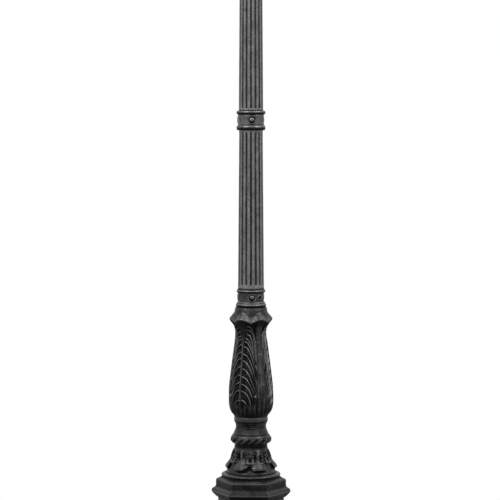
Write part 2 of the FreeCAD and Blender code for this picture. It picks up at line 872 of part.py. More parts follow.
def make_spigot(foot, socket_floor):
    top = foot + spigot_length
    return lathe(outline(
        (spigot_bore_radius, socket_floor),
        line((foot_tenon_radius, socket_floor), (foot_tenon_radius, foot), (spigot_radius, foot),
             (spigot_radius, top - spigot_chamfer), (spigot_radius - spigot_chamfer, top),
             (spigot_bore_radius, top)),
    ))


# Core tube

def core_nut(low):
    high = low + core_nut_height
    return upright_hexagon(core_nut_half_flats, low, high).cut(
        upright(core_radius + thread_play, low - overrun, high + overrun))


# Door and lock

def make_door():
    door_top = door_bottom + door_height
    corner = door_corner_radius + door_overlap
    plate = slab(door_half_width, door_bottom, door_top, corner, door_back, door_face)
    panel = slab(door_half_width - door_panel_margin, door_bottom + door_panel_margin,
                 door_top - door_panel_margin, door_corner_radius, door_back + door_thickness / 2, panel_face)
    low, high = door_middle - knuckle_length / 2, door_middle + knuckle_length / 2
    knuckle = upright(knuckle_radius, low, high, hinge_x, hinge_y)
    leaf = block(hinge_x, -door_half_width + door_overlap, door_face - hinge_leaf_thickness, door_face,
                 low, high)
    pin_hole = upright(hinge_pin_radius + hinge_pin_play, low - overrun, high + overrun, hinge_x, hinge_y)
    lock_hole = lock_rod(barrel_radius + thread_play, door_back - overrun, panel_face + overrun)
    return plate.multiFuse([panel, knuckle, leaf]).cut(Part.makeCompound([pin_hole, lock_hole]))


def make_gasket():
    front, back = door_back, door_back - gasket_thickness
    corner = door_corner_radius + door_overlap - gasket_inset
    rim = slab(door_half_width - gasket_inset, door_bottom + gasket_inset,
               door_bottom + door_height - gasket_inset, corner, back, front)
    hole = slab(door_opening_half_width, door_opening_bottom, door_opening_bottom + door_opening_height,
                door_corner_radius, back - overrun, front + overrun)
    return rim.cut(hole)


def make_hinge_pin():
    reach = knuckle_length / 2 + knuckle_play + lug_length
    low, high = door_middle - reach, door_middle + reach
    pin = upright(hinge_pin_radius, low, high, hinge_x, hinge_y)
    head = upright(hinge_pin_head_radius, high, high + hinge_pin_head_height, hinge_x, hinge_y)
    return pin.fuse(head)


def lock_rod(radius, start, end):
    return level(radius, start, end, door_middle, lock_offset)


def make_lock_barrel():
    barrel = lock_rod(barrel_radius, barrel_end, lock_face)
    barrel = barrel.fuse(lock_rod(barrel_flange_radius, panel_face, lock_face))
    bore = lock_rod(plug_radius + plug_play, barrel_end - overrun, lock_face)
    deep = lock_face - plug_head_length - plug_end_play
    pocket = lock_rod(plug_head_radius + plug_play, deep, lock_face + overrun)
    return barrel.cut(bore.fuse(pocket))


def make_lock_nut():
    start, end = door_back - barrel_nut_thickness, door_back
    nut = hexagon_bar(barrel_nut_half_flats, Vector(lock_offset, start, door_middle),
                      Vector(lock_offset, end, door_middle))
    return nut.cut(lock_rod(barrel_radius + thread_play, start - overrun, end + overrun))


def square_bar(half, start, end):
    return block(lock_offset - half, lock_offset + half, start, end, door_middle - half, door_middle + half)


def make_lock_plug():
    head = lock_rod(plug_head_radius, lock_face - plug_head_length, lock_face)
    body = lock_rod(plug_radius, cam_front, lock_face)
    tongue = square_bar(cam_square / 2, cam_back, cam_front)
    corners = []
    for k in range(4):
        angle = math.radians(90 + 120 * k)
        corners.append(Vector(lock_offset + key_recess_radius * math.cos(angle), lock_face - key_recess_depth,
                              door_middle + key_recess_radius * math.sin(angle)))
    recess = Part.Face(Part.makePolygon(corners)).extrude(Vector(0, key_recess_depth + overrun, 0))
    screw_hole = lock_rod(cam_screw_radius + thread_play, cam_back - overrun, cam_back + cam_screw_length)
    return head.multiFuse([body, tongue]).cut(Part.makeCompound([recess, screw_hole]))


def make_lock_cam():
    hub = lock_rod(barrel_radius, cam_back, cam_front)
    arm = block(lock_offset - cam_half_width, lock_offset + cam_half_width, cam_back, cam_front,
                door_middle, door_middle + cam_length)
    hole = square_bar(cam_square / 2 + thread_play, cam_back - overrun, cam_front + overrun)
    return hub.fuse(arm).cut(hole)


def make_cam_screw():
    shank = lock_rod(cam_screw_radius, cam_back, cam_back + cam_screw_length - thread_play)
    head = lock_rod(cam_screw_head_radius, cam_back - cam_screw_head_height, cam_back)
    return shank.fuse(head)


# Electrical gear on the backboard

def make_backboard():
    board = block(-board_half_width, board_half_width, board_back, board_face,
                  board_bottom, board_bottom + board_height)
    radius = board_screw_radius + thread_play
    holes = [level(radius, board_back - overrun, board_face + overrun, z, x) for x, z in board_screw_places()]
    return board.cut(Part.makeCompound(holes))


def make_board_screws():
    screws = []
    for x, z in board_screw_places():
        seat = board_face if z > door_middle else board_face + bracket_thickness
        shank = level(board_screw_radius, board_back - board_screw_grip, seat, z, x)
        head = level(board_screw_head_radius, seat, seat + board_screw_head_height, z, x)
        screws.append(shank.fuse(head))
    return Part.makeCompound(screws)


def make_cutout_base():
    half, low, high = cutout_width / 2, cutout_foot, cutout_foot + cutout_height
    body = block(-half, half, board_face, board_face + cutout_depth, low, high)
    corners = [e for e in body.Edges if abs(e.Vertexes[0].Y - e.Vertexes[1].Y) > cutout_depth / 2]
    body = body.makeFillet(cutout_corner_radius, corners)
    pocket_half = carrier_width / 2 + carrier_play
    pocket_rise = carrier_height / 2 + carrier_play
    middle = (low + high) / 2
    pocket = block(-pocket_half, pocket_half, board_face + cutout_floor, board_face + cutout_depth + overrun,
                   middle - pocket_rise, middle + pocket_rise)
    return body.cut(pocket)


def make_fuse_carrier():
    middle = cutout_foot + cutout_height / 2
    back = board_face + cutout_floor + carrier_play
    front = board_face + cutout_depth + carrier_grip_proud / 3
    body = block(-carrier_width / 2, carrier_width / 2, back, front,
                 middle - carrier_height / 2, middle + carrier_height / 2)
    grip = block(-carrier_grip_width / 2, carrier_grip_width / 2, front, front + carrier_grip_proud,
                 middle - carrier_height / 3, middle + carrier_height / 3)
    return body.fuse(grip)


def terminal_places():
    pitch = terminal_width / terminal_count
    return [-terminal_width / 2 + (k + 0.5) * pitch for k in range(terminal_count)]


def make_terminal_block():
    half = terminal_width / 2
    front = board_face + terminal_depth
    body = block(-half, half, board_face, front, terminal_foot, terminal_foot + terminal_height)
    middle = terminal_foot + terminal_height / 2
    wires = board_face + terminal_depth / 3
    low, high = terminal_foot - overrun, terminal_foot + terminal_height + overrun
    deep = front - 2 * terminal_screw_depth
    cuts = []
    for x in terminal_places():
        cuts.append(level(terminal_screw_radius + thread_play, deep, front + overrun, middle, x))
        cuts.append(upright(terminal_hole_radius, low, high, x, wires))
    return body.cut(Part.makeCompound(cuts))


def make_terminal_screws():
    front = board_face + terminal_depth
    middle = terminal_foot + terminal_height / 2
    low = front - 2 * terminal_screw_depth
    high = low + terminal_screw_depth
    return Part.makeCompound([level(terminal_screw_radius, low, high, middle, x) for x in terminal_places()])


def make_gland_bracket():
    low, high = board_bottom, bracket_shelf
    back = block(-bracket_half_width, bracket_half_width, board_face, board_face + bracket_thickness, low, high)
    shelf = block(-bracket_half_width, bracket_half_width, board_face, board_face + bracket_depth,
                  high - bracket_thickness, high)
    x, z = board_screw_places()[0]
    screw_hole = level(board_screw_radius + thread_play, board_face - overrun,
                       board_face + bracket_thickness + overrun, z, x)
    gland_hole = upright(gland_body_radius + thread_play, low - overrun, high + overrun, 0, gland_y)
    return back.fuse(shelf).cut(Part.makeCompound([screw_hole, gland_hole]))


def make_cable_gland():
    under = bracket_shelf - bracket_thickness
    low, high = under - gland_flange_thickness, under + gland_body_length
    flange = upright_hexagon(gland_flange_half_flats, low, under, 0, gland_y)
    body = upright(gland_body_radius, low, high, 0, gland_y)
    return flange.fuse(body).cut(upright(gland_bore_radius, low - overrun, high + overrun, 0, gland_y))


def make_gland_nut():
    low, high = bracket_shelf, bracket_shelf + gland_nut_thickness
    nut = upright_hexagon(gland_nut_half_flats, low, high, 0, gland_y)
    return nut.cut(upright(gland_body_radius + thread_play, low - overrun, high + overrun, 0, gland_y))


def make_earth_stud():
    start = earth_seat - earth_grip
    return turned(level(earth_stud_radius, start, start + earth_stud_length, earth_height), earth_turn)


def make_earth_nuts():
    place = earth_seat
    stack = []
    for kind in ("nut", "washer", "nut"):
        depth = earth_nut_thickness if kind == "nut" else earth_washer_thickness
        start, end = Vector(0, place, earth_height), Vector(0, place + depth, earth_height)
        if kind == "nut":
            body = hexagon_bar(earth_nut_half_flats, start, end)
        else:
            body = rod(earth_washer_radius, start, end)
        stack.append(turned(body.cut(rod(earth_stud_radius + thread_play, start, end)), earth_turn))
        place += depth
    return Part.makeCompound(stack)


# The whole post

lower_tenon = lower_collar_height - wall - core_nut_height - core_end_proud - tenon_gap
upper_tenon = collar_height - thread_depth - shoulder_thickness - seat_play
washer_foot = bell_foot - web_thickness - core_washer_thickness
washer_top = washer_foot + core_washer_thickness
core_foot = washer_foot - core_nut_height - core_end_proud
core_top = lower_collar_foot + wall + core_nut_height + core_end_proud

lower_collar, lower_screws_at = make_lower_collar()
upper_collar, upper_screws_at = make_upper_collar(upper_collar_foot, lower_top_tenon_radius)
top_collar, top_screws_at = make_upper_collar(top_collar_foot, upper_top_tenon_radius)

pieces = {
    "plinth": make_plinth(),
    "plinth_cap": make_plinth_cap(),
    "cap_bolts": make_cap_bolts(),
    "leaf_bell": make_leaf_bell(),
    "leaf_ring": make_leaf_ring(),
    "neck": make_neck(),
    "vase": make_vase(),
    "core_tube": tube(core_radius, core_bore_radius, core_foot, core_top),
    "core_washer": tube(core_washer_radius, core_hole_radius, washer_foot, washer_top),
    "core_nut": core_nut(washer_foot - core_nut_height),
    "core_top_nut": core_nut(lower_collar_foot + wall),
    "lower_collar": lower_collar,
    "lower_set_screws": set_screws(lower_screws_at, lower_set_screw_turn),
    "lower_shaft": shaft(lower_shaft_foot, lower_shaft_length, lower_shaft_foot_radius,
                         lower_shaft_top_radius, lower_tenon, lower_top_tenon_radius, flute_foot_margin),
    "upper_collar": upper_collar,
    "upper_set_screws": set_screws(upper_screws_at, upper_set_screw_turn),
    "upper_shaft": shaft(upper_shaft_foot, upper_shaft_length, upper_shaft_foot_radius,
                         upper_shaft_top_radius, upper_tenon, upper_top_tenon_radius, flute_end_margin),
    "top_collar": top_collar,
    "top_set_screws": set_screws(top_screws_at, upper_set_screw_turn),
    "lantern_spigot": make_spigot(top_collar_foot + collar_height,
                                  top_collar_foot + thread_depth + shoulder_thickness + seat_play),
    "door": make_door(),
    "door_gasket": make_gasket(),
    "hinge_pin": make_hinge_pin(),
    "lock_barrel": make_lock_barrel(),
    "lock_nut": make_lock_nut(),
    "lock_plug": make_lock_plug(),
    "lock_cam": make_lock_cam(),
    "cam_screw": make_cam_screw(),
    "backboard": make_backboard(),
    "backboard_screws": make_board_screws(),
    "cutout_base": make_cutout_base(),
    "fuse_carrier": make_fuse_carrier(),
    "terminal_block": make_terminal_block(),
    "terminal_screws": make_terminal_screws(),
    "gland_bracket": make_gland_bracket(),
    "cable_gland": make_cable_gland(),
    "gland_nut": make_gland_nut(),
    "earth_stud": make_earth_stud(),
    "earth_nuts": make_earth_nuts(),
}
for name, shape in pieces.items():
    write(name, shape)
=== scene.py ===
import json
import math

import bpy
import numpy as np
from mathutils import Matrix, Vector


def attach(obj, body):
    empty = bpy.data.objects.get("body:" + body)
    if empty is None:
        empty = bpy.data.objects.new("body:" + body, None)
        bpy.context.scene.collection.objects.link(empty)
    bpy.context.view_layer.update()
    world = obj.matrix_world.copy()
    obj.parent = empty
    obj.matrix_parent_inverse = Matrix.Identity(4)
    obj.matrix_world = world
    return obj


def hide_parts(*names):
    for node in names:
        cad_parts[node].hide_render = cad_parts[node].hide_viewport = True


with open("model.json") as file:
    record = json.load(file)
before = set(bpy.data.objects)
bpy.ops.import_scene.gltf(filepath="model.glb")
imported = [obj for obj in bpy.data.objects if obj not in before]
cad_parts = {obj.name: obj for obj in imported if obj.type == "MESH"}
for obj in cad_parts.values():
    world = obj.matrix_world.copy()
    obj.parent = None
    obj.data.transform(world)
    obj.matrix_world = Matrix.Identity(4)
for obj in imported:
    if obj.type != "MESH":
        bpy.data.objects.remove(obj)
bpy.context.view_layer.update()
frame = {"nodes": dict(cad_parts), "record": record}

# Cast iron lamp post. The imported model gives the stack; the carved castings are dressed here.
# Sizes of the castings are in millimetres and are turned into metres by mm; the studio's are in metres.

mm = 0.001
smoothAngle = 50.0          # degrees; edges sharper than this stay sharp
nodes = frame["nodes"]
print("frame loaded:", len(nodes), "nodes")


# Node trees: a wrapped socket takes part in sums, and every node comes from one method

class Wire:
    def __init__(self, finish, socket):
        self.finish = finish
        self.socket = socket

    def withOther(self, operation, other, swapped=False):
        pair = (other, self) if swapped else (self, other)
        return self.finish.node("ShaderNodeMath", {"operation": operation}, {0: pair[0], 1: pair[1]})

    def __add__(self, other):
        return self.withOther("ADD", other)

    def __radd__(self, other):
        return self.withOther("ADD", other)

    def __sub__(self, other):
        return self.withOther("SUBTRACT", other)

    def __rsub__(self, other):
        return self.withOther("SUBTRACT", other, True)

    def __mul__(self, other):
        return self.withOther("MULTIPLY", other)

    def __rmul__(self, other):
        return self.withOther("MULTIPLY", other)


class Finish:
    def __init__(self, name):
        self.material = bpy.data.materials.new(name)
        self.material.use_nodes = True
        self.tree = self.material.node_tree
        self.shader = self.tree.nodes["Principled BSDF"]

    def node(self, kind, settings=None, inputs=None, output=0):
        made = self.tree.nodes.new(kind)
        for key, value in (settings or {}).items():
            setattr(made, key, value)
        for key, value in (inputs or {}).items():
            self.feed(made.inputs[key], value)
        return Wire(self, made.outputs[output])

    def feed(self, socket, value):
        if isinstance(value, Wire):
            self.tree.links.new(value.socket, socket)
        else:
            socket.default_value = value

    def place(self):
        return self.node("ShaderNodeTexCoord", output="Object")

    def noise(self, scale, detail=3.0, rough=0.55, vector=None):
        return self.node("ShaderNodeTexNoise", {}, {
            "Vector": vector or self.place(), "Scale": scale, "Detail": detail, "Roughness": rough}, "Fac")

    def span(self, value, low, high, start=0.0, end=1.0):
        return self.node("ShaderNodeMapRange", {"interpolation_type": "SMOOTHSTEP"}, {
            "Value": value, "From Min": low, "From Max": high, "To Min": start, "To Max": end})

    def blend(self, share, first, second):
        return self.node("ShaderNodeMix", {"data_type": "RGBA"}, {0: share, 6: first, 7: second}, 2)

    def stretched(self, x, y, z):
        # object coordinates with each axis scaled
        return self.node("ShaderNodeVectorMath", {"operation": "MULTIPLY"}, {0: self.place(), 1: (x, y, z)})

    def length(self, vector):
        return self.node("ShaderNodeVectorMath", {"operation": "LENGTH"}, {0: vector}, "Value")

    def bump(self, height, strength, distance):
        return self.node("ShaderNodeBump", {}, {"Height": height, "Strength": strength, "Distance": distance})

    def finish(self, colour, rough, normal=None, metallic=0.0, shine=0.5):
        self.feed(self.shader.inputs["Base Color"], colour)
        self.feed(self.shader.inputs["Roughness"], rough)
        self.feed(self.shader.inputs["Metallic"], metallic)
        self.feed(self.shader.inputs["Specular IOR Level"], shine)
        if normal:
            self.feed(self.shader.inputs["Normal"], normal)
        return self.material


def grey(level):
    return (level, level, level, 1.0)


# Iron: black paint over a sandy casting, rubbed to a lighter grey on whatever stands proud; upward faces
# painted lighter as dust and top light, downward faces painted darker as shade

ironLook = {
    "hollow": 0.003,
    "paint": 0.022,
    "rubbed": 0.055,
    "speck": 0.2,
    "speckShare": 0.5,
    "sandScale": 300.0,
    "sandWear": 1.1,
    "patchScale": 42.0,
    "evenScale": 22.0,
    "roughness": 0.42,
    "metal": 0.8,
    "shine": 0.2,
    # dust and painted top light: how much lighter the upward faces are made
    "dust": 0.25,
    "sootLow": -0.75,           # how far a face looks down where painted shade takes all but a tenth of the wear
    "sootHigh": -0.12,          # and where none of the wear is taken by painted shade
    # share of the wear left on the faces that look down most, under the painted shade
    "shadeLeft": 0.1,
    "streak": 0.0,
    "streakScale": 150.0,
    "streakStretch": 0.06,
    "bumpStrength": 0.5,
    "bumpDepth": 0.001,
}


def ironFinish(name, crest, **changes):
    # the given map tells how proud the surface stands, 1 on ridges and 0 in hollows, with painted shade and
    # painted highlights in it; less where painted shadow falls
    look = {**ironLook, **changes}
    iron = Finish(name)
    sand = iron.noise(look["sandScale"], 4.0, 0.6)
    patch = iron.noise(look["patchScale"], 4.0, 0.62)
    upward = iron.node("ShaderNodeSeparateXYZ", {}, {
        0: iron.node("ShaderNodeTexCoord", output="Normal")}, "Z")
    # upward faces painted lighter, as dust and as top light
    topLightAndDust = iron.span(upward, -0.2, 0.9, 0.0, look["dust"])
    # downward faces painted darker as shade
    undersideShade = iron.span(upward, look["sootLow"], look["sootHigh"], look["shadeLeft"], 1.0)
    wearLightAndShade = crest(iron) + (patch - 0.5) + (sand - 0.5) * look["sandWear"] + topLightAndDust
    if look["streak"]:
        tall = iron.stretched(1.0, 1.0, look["streakStretch"])
        wearLightAndShade = wearLightAndShade + (iron.noise(look["streakScale"], 4.0, 0.6, tall) - 0.5) * look["streak"]
    wearLightAndShade = wearLightAndShade * undersideShade
    # low values give the hollow black, painted as shade in recesses; high values give the rubbed grey of wear
    # and painted highlights
    colour = iron.blend(iron.span(wearLightAndShade, 0.0, 0.45), grey(look["hollow"]), grey(look["paint"]))
    colour = iron.blend(iron.span(wearLightAndShade, 0.4, 1.0), colour, grey(look["rubbed"]))
    speck = iron.span(sand, 0.58, 0.72) * iron.span(wearLightAndShade, 0.35, 1.0)
    colour = iron.blend(speck * look["speckShare"], colour, grey(look["speck"]))
    dull = iron.span(wearLightAndShade, 0.1, 0.6, 0.25, 0.0)
    rough = iron.span(patch, 0.3, 0.75, look["roughness"] - 0.06, look["roughness"] + 0.08) + dull
    normal = iron.bump(sand * 0.8 + patch, look["bumpStrength"], look["bumpDepth"])
    return iron.finish(colour, rough, normal, look["metal"], look["shine"])


def carvedWearAndShade(iron):
    return iron.node("ShaderNodeAttribute", {"attribute_name": "crest"}, output="Fac")


def outwardCrest(low, high):
    # the base, more rubbed the further it stands from the post's axis
    def crest(iron):
        return iron.span(iron.length(iron.stretched(1.0, 1.0, 0.0)), low * mm, high * mm)
    return crest


def evenCrest(level):
    def crest(iron):
        return iron.noise(ironLook["evenScale"], 3.0, 0.6) * level
    return crest


# Modelling helpers

def deselectAll():
    if bpy.context.object and bpy.context.object.mode != "OBJECT":
        bpy.ops.object.mode_set(mode="OBJECT")
    bpy.ops.object.select_all(action="DESELECT")


def pick(*pieces):
    deselectAll()
    for piece in pieces:
        piece.select_set(True)
    bpy.context.view_layer.objects.active = pieces[0]


def sheetOfCells(name, across, along):
    # a flat grid to be bent into shape; gives the piece and each vertex's share across and along
    deselectAll()
    bpy.ops.mesh.primitive_grid_add(x_subdivisions=across, y_subdivisions=along, size=2)
    piece = bpy.context.object
    piece.name = name
    spots = np.empty(len(piece.data.vertices) * 3)
    piece.data.vertices.foreach_get("co", spots)
    spots = spots.reshape(-1, 3)
    return piece, (spots[:, 0] + 1) / 2, (spots[:, 1] + 1) / 2


def settle(piece, spots, crest, deepest=0.0, merge=0.01):
    # moves the vertices to their places in metres, closes seams and turns the faces outwards
    piece.data.vertices.foreach_set("co", (spots * mm).ravel())
    layer = piece.data.attributes.new("crest", "FLOAT", "POINT")
    layer.data.foreach_set("value", np.clip(crest, deepest, 1))
    piece.data.update()
    pick(piece)
    bpy.ops.object.mode_set(mode="EDIT")
    bpy.ops.mesh.select_all(action="SELECT")
    bpy.ops.mesh.remove_doubles(threshold=merge * mm)
    bpy.ops.mesh.normals_make_consistent(inside=False)
    bpy.ops.object.mode_set(mode="OBJECT")
    bpy.ops.object.shade_smooth_by_angle(angle=math.radians(smoothAngle))


def smoothPath(points, count, stepsBetween=24):
    # even steps along a smooth curve through given points
    points = np.array(points, float)
    ends = np.vstack([2 * points[0] - points[1], points, 2 * points[-1] - points[-2]])
    fine = []
    for k in range(len(points) - 1):
        a, b, c, d = ends[k:k + 4]
        for t in np.linspace(0, 1, stepsBetween, endpoint=False):
            fine.append(0.5 * (2 * b + (c - a) * t + (2 * a - 5 * b + 4 * c - d) * t ** 2
                               + (3 * b - a - 3 * c + d) * t ** 3))
    fine.append(points[-1])
    fine = np.array(fine)
    way = np.concatenate([[0], np.cumsum(np.linalg.norm(np.diff(fine, axis=0), axis=1))])
    steps = np.linspace(0, way[-1], count)
    return np.stack([np.interp(steps, way, fine[:, 0]), np.interp(steps, way, fine[:, 1])], axis=1)


def rise(value, low, high):
    share = np.clip((value - low) / (high - low), 0, 1)
    return share * share * (3 - 2 * share)


def pulse(value, width):
    return np.exp(-(value / width) ** 2)


def softRamp(value, rounding):
    # a straight ramp from 0 to 1 whose two corners are rounded
    return (1 + np.sqrt(value ** 2 + rounding) - np.sqrt((1 - value) ** 2 + rounding)) / 2


def wrapped(angle, pitch):
    # the angle from the nearest of the places that repeat at this pitch
    return (angle + pitch / 2) % pitch - pitch / 2


def table(value, rows):
    return np.interp(value, *zip(*rows))


turning = {
    "hexPitch": 60.0,
    "cornerCrowd": 4.0,         # degrees that columns move towards the hexagon's corners
    "cornerReach": 1.148,       # cuts the sharp tip of a corner, which would be 1.155 times the half flats
    "boreCrest": 0.2,
}


def turnedPiece(name, outside, inside, columns, relief, flats=None, deepest=0.0):
    # a casting turned about the post's axis: the outside takes the relief, and the inside closes the section;
    # flats gives each outside row its share of the hexagon's shape
    rows = np.vstack([outside, inside, outside[:1]])
    piece, across, along = sheetOfCells(name, columns, len(rows) - 1)
    row = np.rint(along * (len(rows) - 1)).astype(int)
    angle = across * 360.0 - 180.0
    radius, height = rows[row, 0], rows[row, 1]
    if flats is not None:
        pitch = turning["hexPitch"]
        angle = angle + turning["cornerCrowd"] * np.sin(np.radians(360.0 / pitch * angle))
        corner = np.minimum(1 / np.cos(np.radians(wrapped(angle, pitch))), turning["cornerReach"])
        share = np.concatenate([flats, np.zeros(len(inside)), flats[:1]])[row]
        radius = radius * (1 + (corner - 1) * share)
    raised, crest = relief(angle, height, radius)
    outer = (row > 0) & (row < len(outside) - 1)
    radius = np.where(outer, radius + raised, radius)
    turn = np.radians(angle)
    spots = np.stack([radius * np.sin(turn), -radius * np.cos(turn), height], axis=1)
    settle(piece, spots, np.where(row < len(outside), crest, turning["boreCrest"]), deepest)
    return piece


def boredThrough(outside, bore):
    # inside of a casting with one plain bore
    return [[bore, outside[-1][1]], [bore, outside[0][1]]]


def roll(foot, height, band, proud, count=13, fullness=0.85):
    # rows of a rounded moulding that stands proud of a band
    turn = np.linspace(0, np.pi, count)
    return [(band + proud * np.sin(t) ** fullness, foot + height * (1 - np.cos(t)) / 2) for t in turn]


def dress(piece, material):
    piece.data.materials.clear()
    piece.data.materials.append(material)
    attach(piece, "post")


def joined(name, pieces):
    pick(*pieces)
    bpy.ops.object.join()
    bpy.context.object.name = name
    return bpy.context.object


def turnedCopy(piece, name, angle):
    copy = piece.copy()
    copy.data = piece.data.copy()
    copy.name = name
    bpy.context.scene.collection.objects.link(copy)
    pick(copy)
    copy.rotation_euler = (0, 0, math.radians(angle))
    bpy.ops.object.transform_apply(location=True, rotation=True, scale=True)
    return copy


# Vase: three acanthus leaves carved between plain panels, under a collar of six arched lobes

vase = {
    "foot": 518.0,
    "bore": 21.6,
    "columns": 366,
    "rows": 268,
    "outline": [(52.8, 0), (53.4, 2.4), (59.8, 12), (65.0, 25), (68.5, 47), (69.1, 70), (68.2, 95),
                (66.4, 113.6), (62.6, 145), (58.6, 177), (54.4, 208.5), (50.6, 240), (49.2, 265),
                (49.4, 290), (50.4, 318), (50.2, 332), (48.6, 342), (46.0, 346)],
    "leafTurn": -26.5,
    "leafPitch": 120.0,
    "leafHalfAngle": [(0, 20), (20, 27), (45, 38), (80, 44), (150, 47), (300, 48)],
    "leafDepth": 6.0,
    "leafEnd": (300, 308),
    "stemHalfAngle": [(0, 1.6), (60, 2.2), (225, 3.0), (245, 8.5), (262, 16), (290, 18)],
    "stemProud": 0.9,
    "frondRoots": [56.8, 86.8, 109.3, 133.0, 158.0, 182.9, 203.2, 226.7, 242.3, 251.7, 264.8, 278.6, 290.0],
    "frondDrop": [(60, 74), (120, 90), (195, 86), (255, 46)],
    "frondCurve": 2.2,
    "frondWidth": 1.35,
    "frondWobble": 1.6,
    "frondStagger": 3.0,        # how far fronds are moved down on one side of the stem and up on the other
    "frondEnd": (292.5, 295),
    "knobHeight": 68.0,         # of the lowest knobs, at the leaf's foot
    "knobAngle": 41.5,
    "knobProud": 1.9,
    "borderDepth": 0.9,
    "footRibs": 27,
    "footRibProud": 1.7,
    "panelRibs": (45, 73),
    "panelRibProud": 0.3,
    "spineProud": 0.8,
    "lobePitch": 60.0,
    "lobeReach": 67.6,
    "dipReach": 61.8,
    "lobeRim": 307.8,
    "dipRim": 296.0,
    "lobeTop": 329.0,
    "dipTop": 319.0,
    "noseHeight": 3.0,
    "noseRounding": 0.006,
    "shoulder": 1.4,
    "lobeUnder": [(0, 0), (5, 0.08), (8, 0.25), (14.3, 0.55), (21, 0.745), (30, 0.91), (43, 1.0)],
}


def vaseRelief(angle, height, radius):
    up = height - vase["foot"]
    fromLeaf = wrapped(angle - vase["leafTurn"], vase["leafPitch"])
    side = np.abs(fromLeaf)
    halfAngle = table(up, vase["leafHalfAngle"])
    stemAngle = table(up, vase["stemHalfAngle"])
    share = side / halfAngle
    reach = np.clip((side - stemAngle) / (halfAngle - stemAngle), 0, 1.15)     # from stem to leaf's edge

    # fronds leave the stem nearly level and hook down to the edge, each a thin ridge beside a black gap
    drop = table(up, vase["frondDrop"])
    curve = vase["frondCurve"]
    wobble = vase["frondWobble"] * np.sin(np.radians(fromLeaf * 9) + up * 0.07) * rise(reach, 0.1, 0.5)
    stagger = vase["frondStagger"] * np.sign(fromLeaf) * rise(up, 70, 120)
    root = up + drop * reach ** curve + wobble + stagger
    roots = np.array(vase["frondRoots"])
    level = np.interp(root, roots, np.arange(len(roots)))
    near = np.rint(level).astype(int)
    width = np.radians(halfAngle - stemAngle) * radius
    slant = np.sqrt(1 + (drop * curve * reach ** (curve - 1) / width) ** 2)
    off = (root - roots[near]) / slant
    ridge = 1 - rise(np.abs(off + 0.3), vase["frondWidth"] * 0.6, vase["frondWidth"] * 2.3)

    # shorter lines in the wide gaps
    middle = (roots[:-1] + roots[1:]) / 2
    gap = np.clip(np.floor(level).astype(int), 0, len(middle) - 1)
    offMinor = (root - middle[gap]) / slant
    wide = rise(np.diff(roots)[gap], 16, 22)
    minor = 1 - rise(np.abs(offMinor), vase["frondWidth"] * 0.3, vase["frondWidth"] * 1.7)
    minor = 0.5 * minor * wide * rise(reach, 0.2, 0.4) * (1 - rise(reach, 0.6, 0.75))

    ending = 1 - 0.7 * rise(reach, 0.72, 0.95) * (1 - rise(root, 262, 280))
    carved = np.maximum(ridge * ending, minor) * (1 - rise(root, *vase["frondEnd"])) * rise(reach, 0.0, 0.05)
    carved = carved * rise(root, 42, 50)
    stem = 1 - rise(side, stemAngle * 0.55, stemAngle * 1.1)
    midrib = stem * (1 - 0.55 * rise(up, 228, 262))
    rim = 0.85 * rise(share, 0.93, 1.0)
    solid = np.clip(np.maximum(np.maximum(carved, midrib), rim), 0, 1)
    inLeaf = (1 - rise(share, 1.0, 1.03)) * (1 - rise(up, *vase["leafEnd"]))
    depth = vase["leafDepth"] * (0.4 + 0.6 * rise(reach, 0.0, 0.25)) * rise(up, 22, 52)
    raised = -depth * (1 - solid) * inLeaf
    raised += vase["stemProud"] * midrib * inLeaf * rise(up, 8, 30) * (1 - rise(up, 235, 260))

    # knobs where every other frond ends, and a dark line round the leaf
    longFrond = near % 2 == 0
    low = pulse(up - vase["knobHeight"], 3.4) * pulse((side - vase["knobAngle"]) * 1.2, 3.2)
    knob = pulse(root - roots[near], 7.0) * pulse((share - 0.97) * halfAngle, 3.4) * longFrond
    knob = knob * rise(up, 75, 95) * (1 - rise(up, 262, 280)) + 1.5 * low
    raised += vase["knobProud"] * knob
    border = pulse((share - 1.05) * halfAngle, 1.5) * rise(up, 20, 60)
    raised -= vase["borderDepth"] * border * (1 - rise(up, 280, 296))

    # ribs at the foot all round, and faint ones up the panels
    ribs = np.cos(np.radians(angle * vase["footRibs"])) * (1 - rise(up, 30, 75)) * rise(up, 4, 16)
    raised += vase["footRibProud"] * ribs
    few, many = vase["panelRibs"]
    faint = np.cos(np.radians(angle * few)) + 0.7 * np.cos(np.radians(angle * many + up * 0.4))
    panel = rise(share, 1.02, 1.12)
    raised += vase["panelRibProud"] * faint * (1 - 0.6 * rise(up, 60, 200)) * panel * rise(up, 20, 40)
    spine = pulse(wrapped(angle - vase["leafTurn"] - vase["leafPitch"] / 2, vase["leafPitch"]), 6.0)
    spine = spine * rise(up, 30, 90) * (1 - rise(up, 200, 285))
    raised += vase["spineProud"] * spine

    # a skirt of arched lobes, hollow below
    pitch = vase["lobePitch"]
    bow = 0.5 + 0.5 * np.cos(np.radians(wrapped(angle - vase["leafTurn"], pitch) * 360.0 / pitch))
    lobeReach = vase["dipReach"] + (vase["lobeReach"] - vase["dipReach"]) * bow
    lip = vase["dipRim"] + (vase["lobeRim"] - vase["dipRim"]) * bow ** 0.8
    top = vase["dipTop"] + (vase["lobeTop"] - vase["dipTop"]) * bow
    hood = softRamp((top - up) / (top - lip - vase["noseHeight"]), vase["noseRounding"])
    collarBase = vase["shoulder"] * rise(up, 310, 326) * (1 - 0.5 * rise(up, 330, 344))
    over = (lobeReach - radius - collarBase) * hood + collarBase
    under = (lobeReach - radius) * (1 - table(lip - up, vase["lobeUnder"]))
    skirt = up >= lip
    raised = np.where(skirt, raised * (1 - rise(up, lip, lip + 2)) + over, raised + under)
